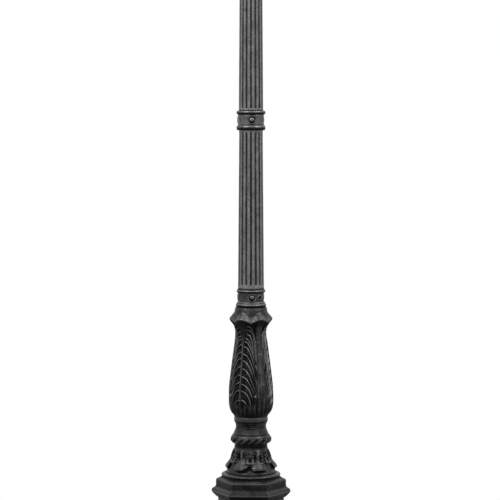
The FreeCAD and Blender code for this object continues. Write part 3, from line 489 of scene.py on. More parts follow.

    # wear and painted light: fronds painted bright as lit ridges over gaps painted black as shade, darker
    # towards the foot, and a painted shadow under the skirt
    crest = 0.44 + 0.08 * panel * faint + 0.05 * spine - 0.1 * (1 - rise(up, 50, 100)) + 0.3 * ribs
    uneven = 0.84 + 0.3 * np.sin(near * 2.3 + np.sign(fromLeaf) * 1.1 + 5.5 * reach)
    lit = np.maximum(carved * (1.35 - 0.45 * reach) * uneven, 0.6 * midrib * (1 - 0.5 * rise(up, 222, 250)))
    inside = inLeaf * rise(up, 24, 52)
    crest = crest * (1 - inside) + inside * (1.1 * lit ** 1.15 + 0.07)
    crest = np.maximum(crest, 0.95 * knob)
    crest = crest * (1 - 0.5 * border) * (0.55 + 0.45 * rise(up, 20, 80))
    frondsUnder = inside * np.clip(1.2 * lit, 0, 1) * rise(lip - up, 5, 10)
    shaded = np.maximum(0.05 + 0.95 * rise(lip - up, 3, 25), frondsUnder)
    # the skirt: lighter over the lobes, with a painted highlight along each arch and a painted black shadow
    # line at the joint under the collar
    archHighlight = pulse(up - top - 1.0, 2.2) * bow
    crown = 0.44 + 0.12 * bow * hood + 0.16 * archHighlight - 0.7 * rise(up, 342, 344.5)
    return raised, np.where(skirt, crown, crest * shaded)


def evenRows(outline, count, foot):
    rows = smoothPath(outline, count)
    rows[:, 1] += foot
    return rows


# Leaf bell: a flared body with six long curled leaves and six short ones between them

bell = {
    "foot": 332.0,
    "bore": 21.6,
    "columns": 180,
    "rows": 70,
    "outline": [(92.4, 0), (93.0, 1.2), (92.8, 2.8), (91.2, 4.6), (88.2, 6.2), (84.4, 7.3), (80.6, 8.1),
                (78.6, 8.7), (77.4, 10.4), (75.2, 13.4), (71.5, 19), (67.0, 26.6), (61.6, 38),
                (58.4, 47.5), (55.4, 58), (53.6, 71), (52.2, 84), (51.5, 95)],
    # hollows: where across the leaf, how wide, and from where to where along it
    "leaves": [
        {"name": "leaningLeaf", "turn": -21.2, "pitch": 120.0, "lean": 0.2, "round": 0.13, "point": 0.0,
         "cup": 0.0, "teeth": 9, "across": 64, "along": 84, "line": "longLine",
         "halfWidth": "longHalfWidth",
         "sway": [(0, -9), (0.3, -6), (0.6, -2), (0.8, 0), (1, -1)],
         "rib": [(0, 0), (0.75, 0), (1, -0.32)],
         "hollows": [(-0.5, 0.2, 0.13, 0.45), (0.46, 0.16, 0.2, 0.36)]},
        {"name": "levelLeaf", "turn": 25.5, "pitch": 120.0, "lean": -0.03, "round": 0.1, "point": 0.0,
         "cup": 0.0, "teeth": 9, "across": 64, "along": 84, "line": "longLine",
         "halfWidth": "longHalfWidth",
         "sway": [(0, 4), (0.3, 1), (0.6, 0), (1, 0)],
         "rib": [(0, 0), (0.5, -0.05), (0.75, -0.18), (1, -0.05)],
         "hollows": [(-0.55, 0.16, 0.16, 0.5), (0.36, 0.13, 0.28, 0.52)]},
        {"name": "shortLeaf", "turn": 1.0, "pitch": 60.0, "lean": -0.08, "round": 0.0, "point": 0.16,
         "cup": 1.0, "teeth": 5, "across": 32, "along": 48, "line": "shortLine",
         "halfWidth": "shortHalfWidth",
         "sway": [(0, 0), (1, 0)],
         "rib": [(0, 0), (1, 0)],
         "hollows": [(-0.4, 0.14, 0.1, 0.35)]},
    ],
    "longLine": [(49.6, 421), (53.4, 414), (58.0, 405), (61.0, 396), (63.4, 386), (67.0, 377), (72.8, 369.6),
                 (77.6, 363.6), (78.6, 359.0), (76.6, 355.0), (70.5, 354.4)],
    "longHalfWidth": [(0, 7), (0.14, 13), (0.3, 19), (0.45, 23), (0.58, 25), (0.7, 26.5), (0.82, 25.5),
                      (0.92, 21.5), (1.0, 15)],
    "shortLine": [(50.0, 419), (53.8, 412), (57.0, 405), (59.0, 397), (61.6, 389), (65.8, 382), (69.4, 377.4),
                  (68.6, 373.6), (65.5, 373.6)],
    "shortHalfWidth": [(0, 5), (0.2, 8), (0.45, 11.5), (0.65, 13.5), (0.85, 12.5), (1.0, 9)],
    "reliefHalfWidth": 26.0,    # of a leaf whose relief has the heights and depths below
    "lineSteps": 240,
    "leafThickness": 3.0,
    "midribProud": 1.6,
    "hollowDepth": 6.0,
    "cupDepth": 7.0,
    "stripeProud": 1.3,
    "beadProud": 3.4,
    "beadLevel": 0.8,
    "rimProud": 1.0,
    "edgeDrop": 2.0,
    "cupEdgeProud": 2.0,
    "bowProud": 2.2,
    "tipDroop": 2.6,
    "bossProud": 6.0,
    "grooveRadius": 79.4,
    "grooveDepth": 2.0,
    # painted shadow behind and below each long leaf's tip
    "tipShadowHeight": 28.4,
    "tipShadowHalfAngle": 22.0,
    "tipShadowHalfHeight": 12.5,
    "deepest": -0.6,
}


def curledLeaf(leaf):
    # a sheet that follows the leaf's centre line, with toothed edges, dark hollows beside the midrib
    # and a fanned tip
    piece, u, v = sheetOfCells(leaf["name"], leaf["across"], leaf["along"])
    u = u * 2 - 1
    side = np.abs(u)
    v = v * (1 - leaf["round"] * side ** 2.4 - leaf["point"] * side - leaf["lean"] * rise(u, -0.4, 1.0))
    line = smoothPath(bell[leaf["line"]], bell["lineSteps"])
    along = np.linspace(0, 1, bell["lineSteps"])
    radius = np.interp(v, along, line[:, 0])
    height = np.interp(v, along, line[:, 1])
    halfWidths = bell[leaf["halfWidth"]]
    half = table(v, halfWidths)
    scale = max(width for _, width in halfWidths) / bell["reliefHalfWidth"]
    toothed = rise(v, 0.08, 0.18) * (1 - rise(v, 0.66, 0.78))
    tooth = (v * leaf["teeth"] - 0.4 * side) % 1.0
    half = half * (1 + toothed * 0.2 * (tooth - 0.7) * rise(side, 0.4, 1.0))
    flare = rise(v, 0.46, 0.66)
    fromRib = np.abs(u - table(v, leaf["rib"]))
    midrib = (1 - rise(fromRib, 0.08, 0.2)) * (1 - flare) + pulse(fromRib, 0.055) * flare
    hollow = 0.0
    for at, wide, low, high in leaf["hollows"]:
        span = rise(v, low - 0.04, low + 0.05) * (1 - rise(v, high - 0.05, high + 0.07))
        hollow = hollow + pulse(u - at, wide) * span
    cup = leaf["cup"] * pulse(u, 0.4) * pulse(v - 0.65, 0.1)
    edge = rise(side, 0.66, 0.82) * toothed
    bead = (0.5 + 0.5 * np.cos(2 * np.pi * (tooth - 0.55))) ** 1.3
    stripes = np.cos(2 * np.pi * (tooth - 0.1)) * rise(side, 0.3, 0.55) * (1 - rise(side, 0.66, 0.8))
    stripes = stripes * toothed * (0.75 + 0.6 * u)
    rim = pulse(v - 0.885, 0.028) * flare
    raised = (bell["midribProud"] * midrib * (1 - 0.3 * flare) - bell["hollowDepth"] * hollow
              - bell["cupDepth"] * cup + bell["stripeProud"] * stripes
              + (bell["beadProud"] * bead - bell["beadLevel"]) * edge + bell["rimProud"] * rim
              - bell["edgeDrop"] * rise(side, 0.72, 1.0) * (1 - flare)
              + bell["bowProud"] * flare * np.cos(side * 2.6)
              + bell["cupEdgeProud"] * leaf["cup"] * rise(side, 0.6, 0.9) * flare)
    turn = (u * half + table(v, leaf["sway"])) / np.maximum(radius, 1)
    radius = radius + scale * raised
    height = height - scale * flare * bell["tipDroop"] * side ** 2.2
    spots = np.stack([radius * np.sin(turn), -radius * np.cos(turn), height], axis=1)
    # hollows and the small leaf's cup painted dark as shade; the fanned tip, its rim and midrib painted
    # lighter as lit faces and highlights; toothed edges lighter on the beads and darker between them as shade
    crest = 0.37 + 0.22 * midrib - 1.0 * hollow - 1.7 * cup + 0.45 * stripes + (1.5 * bead - 0.9) * edge
    crest += flare * (0.3 + 0.5 * rim + 0.2 * midrib - 0.12 * np.cos(side * 2.6))
    crest += 0.6 * leaf["cup"] * rise(side, 0.6, 0.85) * flare
    settle(piece, spots, crest, bell["deepest"])
    thick = piece.modifiers.new("thickness", "SOLIDIFY")
    thick.thickness = bell["leafThickness"] * mm
    thick.offset = -1
    pick(piece)
    bpy.ops.object.modifier_apply(modifier=thick.name)
    return piece


def bellRelief(angle, height, radius):
    up = height - bell["foot"]
    raised = 0.0
    soot = 0.0
    for leaf in bell["leaves"][:2]:
        # a boss backs each long leaf, and a shadow is painted behind and below its tip
        away = wrapped(angle - leaf["turn"], leaf["pitch"])
        raised = raised + bell["bossProud"] * pulse(away, 11.0) * pulse(up - 24, 9.0)
        topLightAndDust = (up - bell["tipShadowHeight"]) / bell["tipShadowHalfHeight"]
        soot = soot + pulse(np.hypot(away / bell["tipShadowHalfAngle"], topLightAndDust) ** 4, 1.0)
    groove = pulse(radius - bell["grooveRadius"], 1.2)
    raised = raised - bell["grooveDepth"] * groove
    # the top painted darker as shade under the wreath, the shadows behind the leaf tips painted black, and a
    # lighter band below the top
    crest = 0.3 - 0.4 * rise(up, 86, 94) - 1.6 * soot
    bead = rise(radius, 80.6, 82.6)
    # the bead painted with a light line as a highlight, and lighter towards its foot
    beadHighlight = 0.9 * pulse(up - 5.8, 1.9) + 0.4 * rise(up, 0.4, 2.2)
    crest = crest * (1 - bead) + bead * beadHighlight - 1.6 * groove * (1 - bead) + 0.3 * pulse(up - 78, 7)
    return raised, crest


def makeLeafBell():
    outside = evenRows(bell["outline"], bell["rows"], bell["foot"])
    bore = boredThrough(outside, bell["bore"])
    pieces = [turnedPiece("bellBody", outside, bore, bell["columns"], bellRelief, deepest=bell["deepest"])]
    for leaf in bell["leaves"]:
        master = curledLeaf(leaf)
        for k in range(round(360 / leaf["pitch"])):
            pieces.append(turnedCopy(master, leaf["name"] + str(k), leaf["turn"] + k * leaf["pitch"]))
        bpy.data.objects.remove(master)
    piece = joined("leafyBell", pieces)
    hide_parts("leaf_bell")
    return piece


# Ring wrapped in slanting leaves with berries, and the hollow neck above it

wreath = {
    "foot": 427.0,
    "bore": 38.0,
    "columns": 420,
    "rows": 60,
    "outline": [(51.2, 0), (51.4, 3.2), (53.4, 5.2), (57.4, 7.5), (61.4, 11), (63.6, 15), (64.0, 19.5),
                (62.9, 24), (60.3, 29), (57.6, 33), (55.2, 35)],
    "leafCount": 16,
    "leafTurn": -9.2,
    "slant": 0.045,             # share of a leaf's pitch that it leans for each millimetre up
    "leafBulge": 0.9,
    "slitLow": 5.0,
    "slitHigh": 24.0,
    "slitDepth": 5.4,
    "curlDepth": 1.0,
    "veinDepth": 0.7,
    "berryTurn": -44.0,
    "berryPitch": 90.0,
    "berryHeight": 23.0,
    "berryRadius": 4.2,
    "berryProud": 2.2,
    "moatDepth": 1.5,
    "dimpleRadius": 2.3,
    "dimpleDepth": 1.0,
}


def wreathRelief(angle, height, radius):
    up = height - wreath["foot"]
    low, high = wreath["slitLow"], wreath["slitHigh"]
    phase = (angle - wreath["leafTurn"]) / 360.0 * wreath["leafCount"] - wreath["slant"] * (up - 14)
    number = np.rint(phase)
    fold = phase - number + 0.05 * np.sin(number * 2.1)
    strength = 0.75 + 0.25 * np.sin(number * 2.4 + 0.6)
    slit = (1 - rise(np.abs(fold), 0.08, 0.19)) * strength
    slit = slit * rise(up, low - 2, low + 2) * (1 - rise(up, high - 6, high + 3))
    body = np.cos(np.pi * np.clip(fold, -0.5, 0.5)) ** 0.8
    curl = pulse(wrapped(phase * 2.0 - 0.07 * (up - 20), 1.0) - 0.1, 0.13)
    curl = curl * rise(up, 12, 17) * (1 - rise(up, 28, 33))
    vein = pulse(np.abs(fold) - 0.27, 0.05) * rise(up, 9, 14) * (1 - rise(up, 24, 31))
    raised = wreath["leafBulge"] * (1 - body) * rise(up, 5, 9) * (1 - rise(up, 24, 33))
    raised = raised - wreath["slitDepth"] * slit - wreath["curlDepth"] * curl - wreath["veinDepth"] * vein
    side = np.radians(wrapped(angle - wreath["berryTurn"], wreath["berryPitch"])) * radius
    away = np.hypot(side, up - wreath["berryHeight"])
    berry = np.sqrt(np.clip(1 - (away / wreath["berryRadius"]) ** 2, 0, 1))
    moat = pulse(away - wreath["berryRadius"] - 1.0, 1.0)
    dimple = pulse(away - wreath["dimpleRadius"], 0.6)
    raised = raised * rise(away, 4.5, 6.5) + wreath["berryProud"] * berry
    raised = raised - wreath["moatDepth"] * moat - wreath["dimpleDepth"] * dimple
    # slits, curls, veins, moats and dimples painted darker as shade; the foot and the crease under the neck
    # painted dark as shade; berries lighter
    crest = 0.6 - 3.0 * slit - 0.5 * curl - 0.4 * vein + 0.2 * berry - 0.6 * moat - 0.4 * dimple
    return raised, crest * (0.05 + 0.95 * rise(up, 2, 6)) - 0.6 * rise(up, 32.0, 34.0)


neck = {
    "foot": 462.0,
    "bore": 38.0,
    "columns": 260,
    "rows": 76,
    "outline": [(54.5, 0), (54.9, 1.5), (53.6, 5.5), (51.2, 10.5), (48.9, 16.5), (47.5, 23), (47.9, 29.5),
                (49.8, 35.4), (51.9, 38.8), (53.0, 40.5), (53.3, 46), (53.0, 51.5), (52.2, 54.6), (51.6, 56)],
    "cutTurn": 3.0,
    "cutPitch": 120.0,
    "cutHalfAngle": 20.0,
    "cuts": [18.5, 24.5, 30.5],
    "cutDepth": 1.7,
    "cutBow": 1.6,
    "lineHeight": 40.2,
    "lineDepth": 0.5,
}


def neckRelief(angle, height, radius):
    up = height - neck["foot"]
    fromCut = np.abs(wrapped(angle - neck["cutTurn"], neck["cutPitch"]))
    near = 1 - rise(fromCut, neck["cutHalfAngle"] * 0.6, neck["cutHalfAngle"])
    bow = neck["cutBow"] * (1 - near)
    cut = sum(pulse(up - at - bow * np.sign(at - neck["cuts"][1]), 1.1) for at in neck["cuts"]) * near
    raised = -neck["cutDepth"] * cut - neck["lineDepth"] * pulse(up - neck["lineHeight"], 1.0)
    # cuts and the line painted darker as shade; lighter on the upper swell and near the foot
    crest = 0.26 + 0.35 * rise(up, 41, 47) + 0.25 * (1 - rise(up, 2, 8)) - 0.8 * cut
    return raised, crest - 0.5 * pulse(up - neck["lineHeight"], 1.4)


def makeTurned(name, node, sizes, relief):
    outside = evenRows(sizes["outline"], sizes["rows"], sizes["foot"])
    piece = turnedPiece(name, outside, boredThrough(outside, sizes["bore"]), sizes["columns"], relief)
    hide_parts(node)
    return piece


# Collars: a band between two rolls, with domed rosettes in raised rings and the rims of the set screws

collars = {
    "columns": 480,
    "bandRadius": 40.9,
    "waist": 0.5,
    "rollProud": 4.4,
    "rosetteTurn": 7.5,
    "rosettePitch": 120.0,
    "domeRadius": 8.4,
    "domeProud": 5.0,
    "moatRadius": 9.6,
    "moatDepth": 1.6,
    "ringRadius": 12.2,
    "ringHalfWidth": 2.0,
    "ringProud": 3.1,
    "screwHole": 6.0,
    "screwHoleDepth": 2.6,
    "screwRim": 8.8,
    "screwRimProud": 1.3,
    "socket": 34.1,
    "deepest": -0.6,
    # dark: height up to which the foot is painted black as shade
    "pieces": {
        "lowerCollar": {"node": "lower_collar", "foot": 864.0, "height": 56.0, "middle": 29.75,
                        "screwTurn": 45.5, "floor": 7.0, "bore": 21.4, "bandWear": 0.42,
                        "screwDepth": 1.0, "dark": 5.0},
        "upperCollar": {"node": "upper_collar", "foot": 1416.0, "height": 61.0, "middle": 32.25,
                        "screwTurn": 67.5, "floor": 22.0, "bore": 27.0, "bandWear": 0.78,
                        "screwDepth": 0.25, "dark": 3.2},
        "topCollar": {"node": "top_collar", "foot": 1957.0, "height": 61.0, "middle": 32.25,
                      "screwTurn": 67.5, "floor": 22.0, "bore": 27.0, "bandWear": 0.78,
                      "screwDepth": 0.25, "dark": 3.2},
    },
    "flare": [(45.8, 0), (46.6, 1.4), (47.3, 3.2), (47.6, 5.2), (47.2, 7.4), (45.8, 9.4), (44.2, 10.6),
              (43.7, 11.2), (44.0, 12.0), (44.1, 13.2), (43.2, 14.6), (41.9, 15.8), (40.6, 16.8)],
    "lip": [(41.6, 54.2), (42.6, 54.9), (42.4, 56.0)],      # over the lower collar's upper roll
}


def collarRows(piece):
    band, proud = collars["bandRadius"], collars["rollProud"]
    if piece["node"] == "lower_collar":
        low = smoothPath(collars["flare"], 34).tolist()
        high = [(band - 0.5, 43.6)] + roll(44.2, 9.6, band - 0.3, proud + 0.3) + collars["lip"]
        start, end = 17.4, 43.0
    else:
        low = roll(0.0, 15.5, band, proud, 17)
        high = [(band - 0.6, 48.2)] + roll(49.0, 12.0, band, proud, 15)
        start, end = 16.4, 47.6
    steps = np.linspace(0, 1, 56)
    shadowLines = 0.7 * (pulse(steps, 0.02) + pulse(1 - steps, 0.02))
    waist = band - collars["waist"] * np.sin(np.pi * steps) - shadowLines
    middle = np.stack([waist, start + (end - start) * steps], axis=1).tolist()
    rows = np.array(low + middle + high)
    rows[:, 1] += piece["foot"]
    return rows


def makeCollar(name):
    piece = collars["pieces"][name]
    band, pitch = collars["bandRadius"], collars["rosettePitch"]
    hole, rimEnd = collars["screwHole"], collars["screwRim"]

    def relief(angle, height, radius):
        up = height - piece["foot"]
        side = np.radians(wrapped(angle - collars["rosetteTurn"], pitch)) * band
        away = np.hypot(side, up - piece["middle"])
        dome = np.sqrt(np.clip(1 - (away / collars["domeRadius"]) ** 2, 0, 1))
        ring = np.sqrt(np.clip(1 - ((away - collars["ringRadius"]) / collars["ringHalfWidth"]) ** 2, 0, 1))
        moat = pulse(away - collars["moatRadius"], 0.9) + 0.4 * pulse(away - 14.4, 0.7)
        side = np.radians(wrapped(angle - piece["screwTurn"], pitch)) * band
        off = np.hypot(side, up - piece["middle"])
        rim = rise(off, hole - 0.3, hole + 0.3) * (1 - rise(off, rimEnd - 1.2, rimEnd)) * piece["screwDepth"]
        pit = (1 - rise(off, hole - 0.5, hole + 0.2)) * piece["screwDepth"]
        raised = collars["domeProud"] * dome + collars["ringProud"] * ring - collars["moatDepth"] * moat
        raised = raised + collars["screwRimProud"] * rim - collars["screwHoleDepth"] * pit
        onRoll = np.clip((radius - band) / 1.5, 0, 1)
        tilt = np.interp(height, outside[:, 1], upturn)                    # how far the moulding faces up
        slot = np.clip((band - 0.7 - radius) / 0.4, 0, 1)
        # rolls painted lighter where they face up, as top light, and black at and below their widest line as
        # shade
        crest = piece["bandWear"] * (1 - onRoll) + onRoll * (1.15 * rise(tilt, -0.3, 0.45) - 0.1)
        # slots beside the band, moats and screw holes painted dark as shade; domes, rings and screw rims
        # painted lighter as highlights
        crest = crest - 0.6 * slot + 0.3 * dome + 0.9 * ring - 0.9 * moat + 0.45 * rim - 1.6 * pit
        # the foot painted black as shade up to the given height
        return raised, crest - 0.8 * (1 - rise(up, piece["dark"] - 2.5, piece["dark"] + 1.0))

    outside = collarRows(piece)
    step = np.gradient(outside, axis=0)
    upturn = -step[:, 0] / np.maximum(np.hypot(step[:, 0], step[:, 1]), 1e-6)
    foot, top = piece["foot"], piece["foot"] + piece["height"]
    socket, floor = collars["socket"], piece["foot"] + piece["floor"]
    inside = [(socket, top), (socket, floor), (piece["bore"], floor), (piece["bore"], foot)]
    made = turnedPiece(name, outside, inside, collars["columns"], relief, deepest=collars["deepest"])
    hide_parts(piece["node"])
    return made


# Shafts: sixteen round-bottomed flutes between softly crowned ridges

shafts = {
    "flutes": 16,
    "fluteTurn": 3.5,
    "fluteDepth": 2.6,
    "crown": 0.6,
    "gapDepth": 1.3,            # of the shadow gap over the collar below
    "topPlain": 4.0,
    "columns": 320,
    "rows": 84,
    "bore": 27.0,
    "footTenon": 33.9,
    "topTenon": 32.0,
    "topTenonLength": 15.0,
    "pieces": {
        "lowerShaft": {"node": "lower_shaft", "foot": 920.0, "length": 496.0, "footRadius": 41.2,
                       "topRadius": 37.3, "footPlain": 9.0, "lowEnd": 886.0},
        "upperShaft": {"node": "upper_shaft", "foot": 1477.0, "length": 480.0, "footRadius": 38.6,
                       "topRadius": 35.3, "footPlain": 2.5, "lowEnd": 1440.0},
    },
}


def makeShaft(name):
    piece = shafts["pieces"][name]
    foot, length = piece["foot"], piece["length"]

    def relief(angle, height, radius):
        up = height - foot
        pitch = 360.0 / shafts["flutes"]
        across = np.abs(wrapped(angle - shafts["fluteTurn"], pitch)) / pitch
        plain = np.minimum(up - piece["footPlain"], length - shafts["topPlain"] - up)
        shortened = across + 0.3 * (1 - rise(plain, 0, 6))                 # rounded ends
        groove = 1 - rise(shortened, 0.1, 0.31)
        ridge = np.clip((0.5 - across) / 0.22, 0, 1)
        raised = -shafts["fluteDepth"] * groove
        raised = raised - shafts["crown"] * ridge ** 2 * (1 - groove) * rise(plain, 0, 6)
        raised = raised - shafts["gapDepth"] * (1 - rise(up, 1.4, 2.6))
        edge = pulse(across - 0.33, 0.05) * rise(plain, 2, 8)
        # flutes painted dark as shade, flute edges lighter as wear and as painted highlights, the foot
        # painted black as the shadow of the gap, and a light band above it painted as a highlight
        crest = 0.78 - 0.74 * groove + 0.42 * edge
        return raised, crest - 0.7 * (1 - rise(up, 1.0, 3.4)) + 0.2 * pulse(up - 5.5, 2.0)

    steps = np.concatenate([[0.0, 1.2, 2.0, 2.8], np.linspace(4, 16, 9),
                            np.linspace(16, length - 12, shafts["rows"])[1:-1],
                            np.linspace(length - 12, length, 9)])          # closer rows at both ends
    slope = (piece["topRadius"] - piece["footRadius"]) / length
    outside = np.stack([piece["footRadius"] + slope * steps, foot + steps], axis=1)
    top, end = foot + length, foot + length + shafts["topTenonLength"]
    inside = [(shafts["topTenon"], top), (shafts["topTenon"], end), (shafts["bore"], end),
              (shafts["bore"], piece["lowEnd"]), (shafts["footTenon"], piece["lowEnd"]),
              (shafts["footTenon"], foot)]
    made = turnedPiece(name, outside, inside, shafts["columns"], relief)
    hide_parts(piece["node"])
    return made


# Plinth cap: hexagonal cornice and tier with softened edges, turning round where the bell stands

cap = {
    "columns": 480,
    "rows": 118,
    "outline": [(89.8, 258), (90.8, 259.4), (94.0, 261.4), (98.0, 265.0), (101.2, 268.6), (104.2, 272.2),
                (106.6, 275.4), (108.2, 277.6), (108.6, 279.4), (108.6, 282.4), (108.2, 284.8),
                (106.8, 287.2), (104.0, 289.6), (101.0, 291.8), (98.4, 294.2), (97.0, 297.0), (96.5, 300.0),
                (96.4, 306), (96.4, 312), (96.1, 315.6), (94.8, 318.2), (92.4, 320.4), (89.8, 322.4),
                (88.4, 324.4), (88.2, 326.6), (88.8, 328.8), (90.2, 330.8), (92.2, 332.0)],
    "roundFrom": 317.5,
    "roundTo": 333.5,
    "cornerTop": 318.0,
    "cornerWear": 0.25,
    "wearLightAndShade": [(258, 0.1), (276, 0.05), (278.6, 0.5), (280.6, 1.0), (282.6, 0.9), (284.6, 0.45), (287.5, 0.4),
             (290, 0.75), (292.4, 0.6), (295.5, 0.2), (300, 0.2), (310, 0.22), (314.6, 0.4), (317.6, 0.95),
             (319.2, 0.6), (321.2, 0.95), (323.0, 0.4), (324.8, 0.0), (330, -0.1), (332, -0.4)],
    "inside": [(85.0, 332.0), (85.0, 334.6), (56.0, 334.6), (56.0, 332.0), (21.4, 332.0), (21.4, 320.0),
               (56.0, 320.0), (56.0, 258.0)],
}


def capRelief(angle, height, radius):
    corner = pulse(np.abs(wrapped(angle, turning["hexPitch"])) - turning["hexPitch"] / 2, 1.3)
    # the table paints light lines along the bevelled edges as highlights and wear, and the hollow under the
    # bead dark as shade; corners below the tier's top are lighter as wear
    crest = table(height, cap["wearLightAndShade"]) + cap["cornerWear"] * corner * (height < cap["cornerTop"])
    return np.zeros_like(angle), crest


def makeCap():
    outside = smoothPath(cap["outline"], cap["rows"])
    flats = 1 - rise(outside[:, 1], cap["roundFrom"], cap["roundTo"])
    made = turnedPiece("hexagonalCap", outside, cap["inside"], cap["columns"], capRelief, flats)
    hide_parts("plinth_cap")
    return made


# Finishes

def makeIrons():
    return {
        "vaseIron": ironFinish("vaseIron", carvedWearAndShade, rubbed=0.1),
        "bellIron": ironFinish("bellIron", carvedWearAndShade, sootLow=-0.9, sootHigh=-0.4),
        "wreathIron": ironFinish("wreathIron", carvedWearAndShade, sootLow=-1.0, sootHigh=-0.8),
        "collarIron": ironFinish("collarIron", carvedWearAndShade, paint=0.034, rubbed=0.11, speck=0.3,
                                 sootLow=-0.5, sootHigh=0.06),
        "shaftIron": ironFinish("shaftIron", carvedWearAndShade, hollow=0.016, paint=0.055, rubbed=0.14, speck=0.45,
                                speckShare=0.65, dust=0.1, roughness=0.44, streak=1.0),
        "capIron": ironFinish("capIron", carvedWearAndShade, paint=0.0165, rubbed=0.052, speckShare=0.3, dust=0.05),
        "baseIron": ironFinish("baseIron", outwardCrest(62, 140), paint=0.024, rubbed=0.065, speckShare=0.3,
                               dust=0.05),
        "plainIron": ironFinish("plainIron", evenCrest(0.8)),
        "screwIron": ironFinish("screwIron", evenCrest(1.2), paint=0.034, rubbed=0.08),
    }


def steelFinish():
    steel = Finish("turnedSteel")
    patch = steel.noise(60.0, 4.0, 0.6)
    fine = steel.noise(900.0, 3.0, 0.6)
    rust = steel.span(steel.noise(85.0, 5.0, 0.7), 0.56, 0.72)
    colour = steel.blend(steel.span(patch, 0.3, 0.7), (0.36, 0.36, 0.37, 1), (0.5, 0.5, 0.51, 1))
    colour = steel.blend(rust * 0.6, colour, (0.16, 0.07, 0.035, 1))
    rough = steel.span(patch, 0.3, 0.7, 0.28, 0.46) + rust * 0.3
    return steel.finish(colour, rough, steel.bump(fine + patch, 0.25, 0.0003), 1.0 - rust * 0.8)


def platedFinish():
    plated = Finish("brightPlating")
    patch = plated.noise(40.0, 3.0, 0.5)
    colour = plated.blend(plated.span(patch, 0.35, 0.7), (0.62, 0.62, 0.63, 1), (0.5, 0.5, 0.52, 1))
    rough = plated.span(plated.noise(300.0, 4.0, 0.6), 0.3, 0.7, 0.14, 0.3)
    return plated.finish(colour, rough, plated.bump(patch, 0.1, 0.0003), 1.0)


def brassFinish():
    brass = Finish("dulledBrass")
    patch = brass.noise(70.0, 5.0, 0.65)
    colour = brass.blend(brass.span(patch, 0.35, 0.7), (0.52, 0.36, 0.13, 1), (0.26, 0.17, 0.07, 1))
    rough = brass.span(patch, 0.3, 0.75, 0.3, 0.5)
    return brass.finish(colour, rough, brass.bump(brass.noise(700.0), 0.2, 0.0003), 1.0)


def rubberFinish():
    rubber = Finish("foamRubber")
    pores = rubber.noise(1400.0, 3.0, 0.6)
    colour = rubber.blend(pores, (0.012, 0.012, 0.012, 1), (0.035, 0.035, 0.036, 1))
    return rubber.finish(colour, rubber.span(pores, 0.3, 0.7, 0.78, 0.95), rubber.bump(pores, 0.6, 0.0004))


def boardFinish():
    board = Finish("hardwoodBoard")
    upright = board.stretched(1.0, 1.0, 0.07)
    grain = board.noise(260.0, 5.0, 0.6, upright)
    rings = board.noise(48.0, 2.0, 0.5, upright)
    colour = board.blend(board.span(grain, 0.35, 0.7), (0.3, 0.16, 0.07, 1), (0.17, 0.085, 0.035, 1))
    colour = board.blend(board.span(rings, 0.45, 0.6) * 0.5, colour, (0.36, 0.21, 0.1, 1))
    return board.finish(colour, board.span(grain, 0.3, 0.7, 0.55, 0.75), board.bump(grain, 0.4, 0.0004))


def mouldedFinish(name, dark, light, rough):
    moulded = Finish(name)
    fine = moulded.noise(1100.0, 3.0, 0.5)
    patch = moulded.noise(30.0, 3.0, 0.5)
    colour = moulded.blend(moulded.span(patch, 0.3, 0.7), dark, light)
    return moulded.finish(colour, moulded.span(patch, 0.3, 0.7, rough - 0.06, rough + 0.08),
                          moulded.bump(fine, 0.2, 0.0002))


def blackenedFinish():
    blackened = Finish("blackenedSteel")
    patch = blackened.noise(120.0, 4.0, 0.6)
    colour = blackened.blend(blackened.span(patch, 0.35, 0.7), (0.001, 0.001, 0.0012, 1), grey(0.005))
    return blackened.finish(colour, blackened.span(patch, 0.3, 0.7, 0.4, 0.6),
                            blackened.bump(blackened.noise(900.0), 0.2, 0.0002), 0.8)


# Every solid gets the finish of its slot, apart from the set screws, which are painted over or blackened

slotOf = {part["node"]: part["material_slot"] for part in frame["record"]["subparts"]}
ironOf = {
    "plinth": "baseIron",
    "door": "baseIron",
    "upper_set_screws": "screwIron",
    "top_set_screws": "screwIron",
}
irons = makeIrons()
fittings = {
    "steel": steelFinish(),
    "blackened": blackenedFinish(),
    "plated": platedFinish(),
    "brass": brassFinish(),
    "seal": rubberFinish(),
    "board": boardFinish(),
    "moulding": mouldedFinish("blackMoulding", (0.02, 0.02, 0.022, 1), (0.035, 0.035, 0.037, 1), 0.55),
    "carrier": mouldedFinish("ivoryMoulding", (0.55, 0.52, 0.43, 1), (0.62, 0.59, 0.5, 1), 0.3),
}
for nodeName, node in nodes.items():
    if nodeName == "lower_set_screws":
        finish = fittings["blackened"]
    elif nodeName in ironOf or slotOf[nodeName] == "iron":
        finish = irons[ironOf.get(nodeName, "plainIron")]
    else:
        finish = fittings[slotOf[nodeName]]
    node.data.materials.clear()
    node.data.materials.append(finish)
print("finishes made:", len(irons) + len(fittings))

castings = {
    "vaseIron": [makeTurned("carvedVase", "vase", vase, vaseRelief)],
    "bellIron": [makeLeafBell(), makeTurned("hollowNeck", "neck", neck, neckRelief)],
    "wreathIron": [makeTurned("wreathRing", "leaf_ring", wreath, wreathRelief)],
    "collarIron": [makeCollar(name) for name in collars["pieces"]],
    "shaftIron": [makeShaft(name) for name in shafts["pieces"]],
    "capIron": [makeCap()],
}
for ironName, pieces in castings.items():
    for piece in pieces:
        dress(piece, irons[ironName])
        print("piece made:", piece.name, len(piece.data.polygons), "faces")


# Floor, light and camera

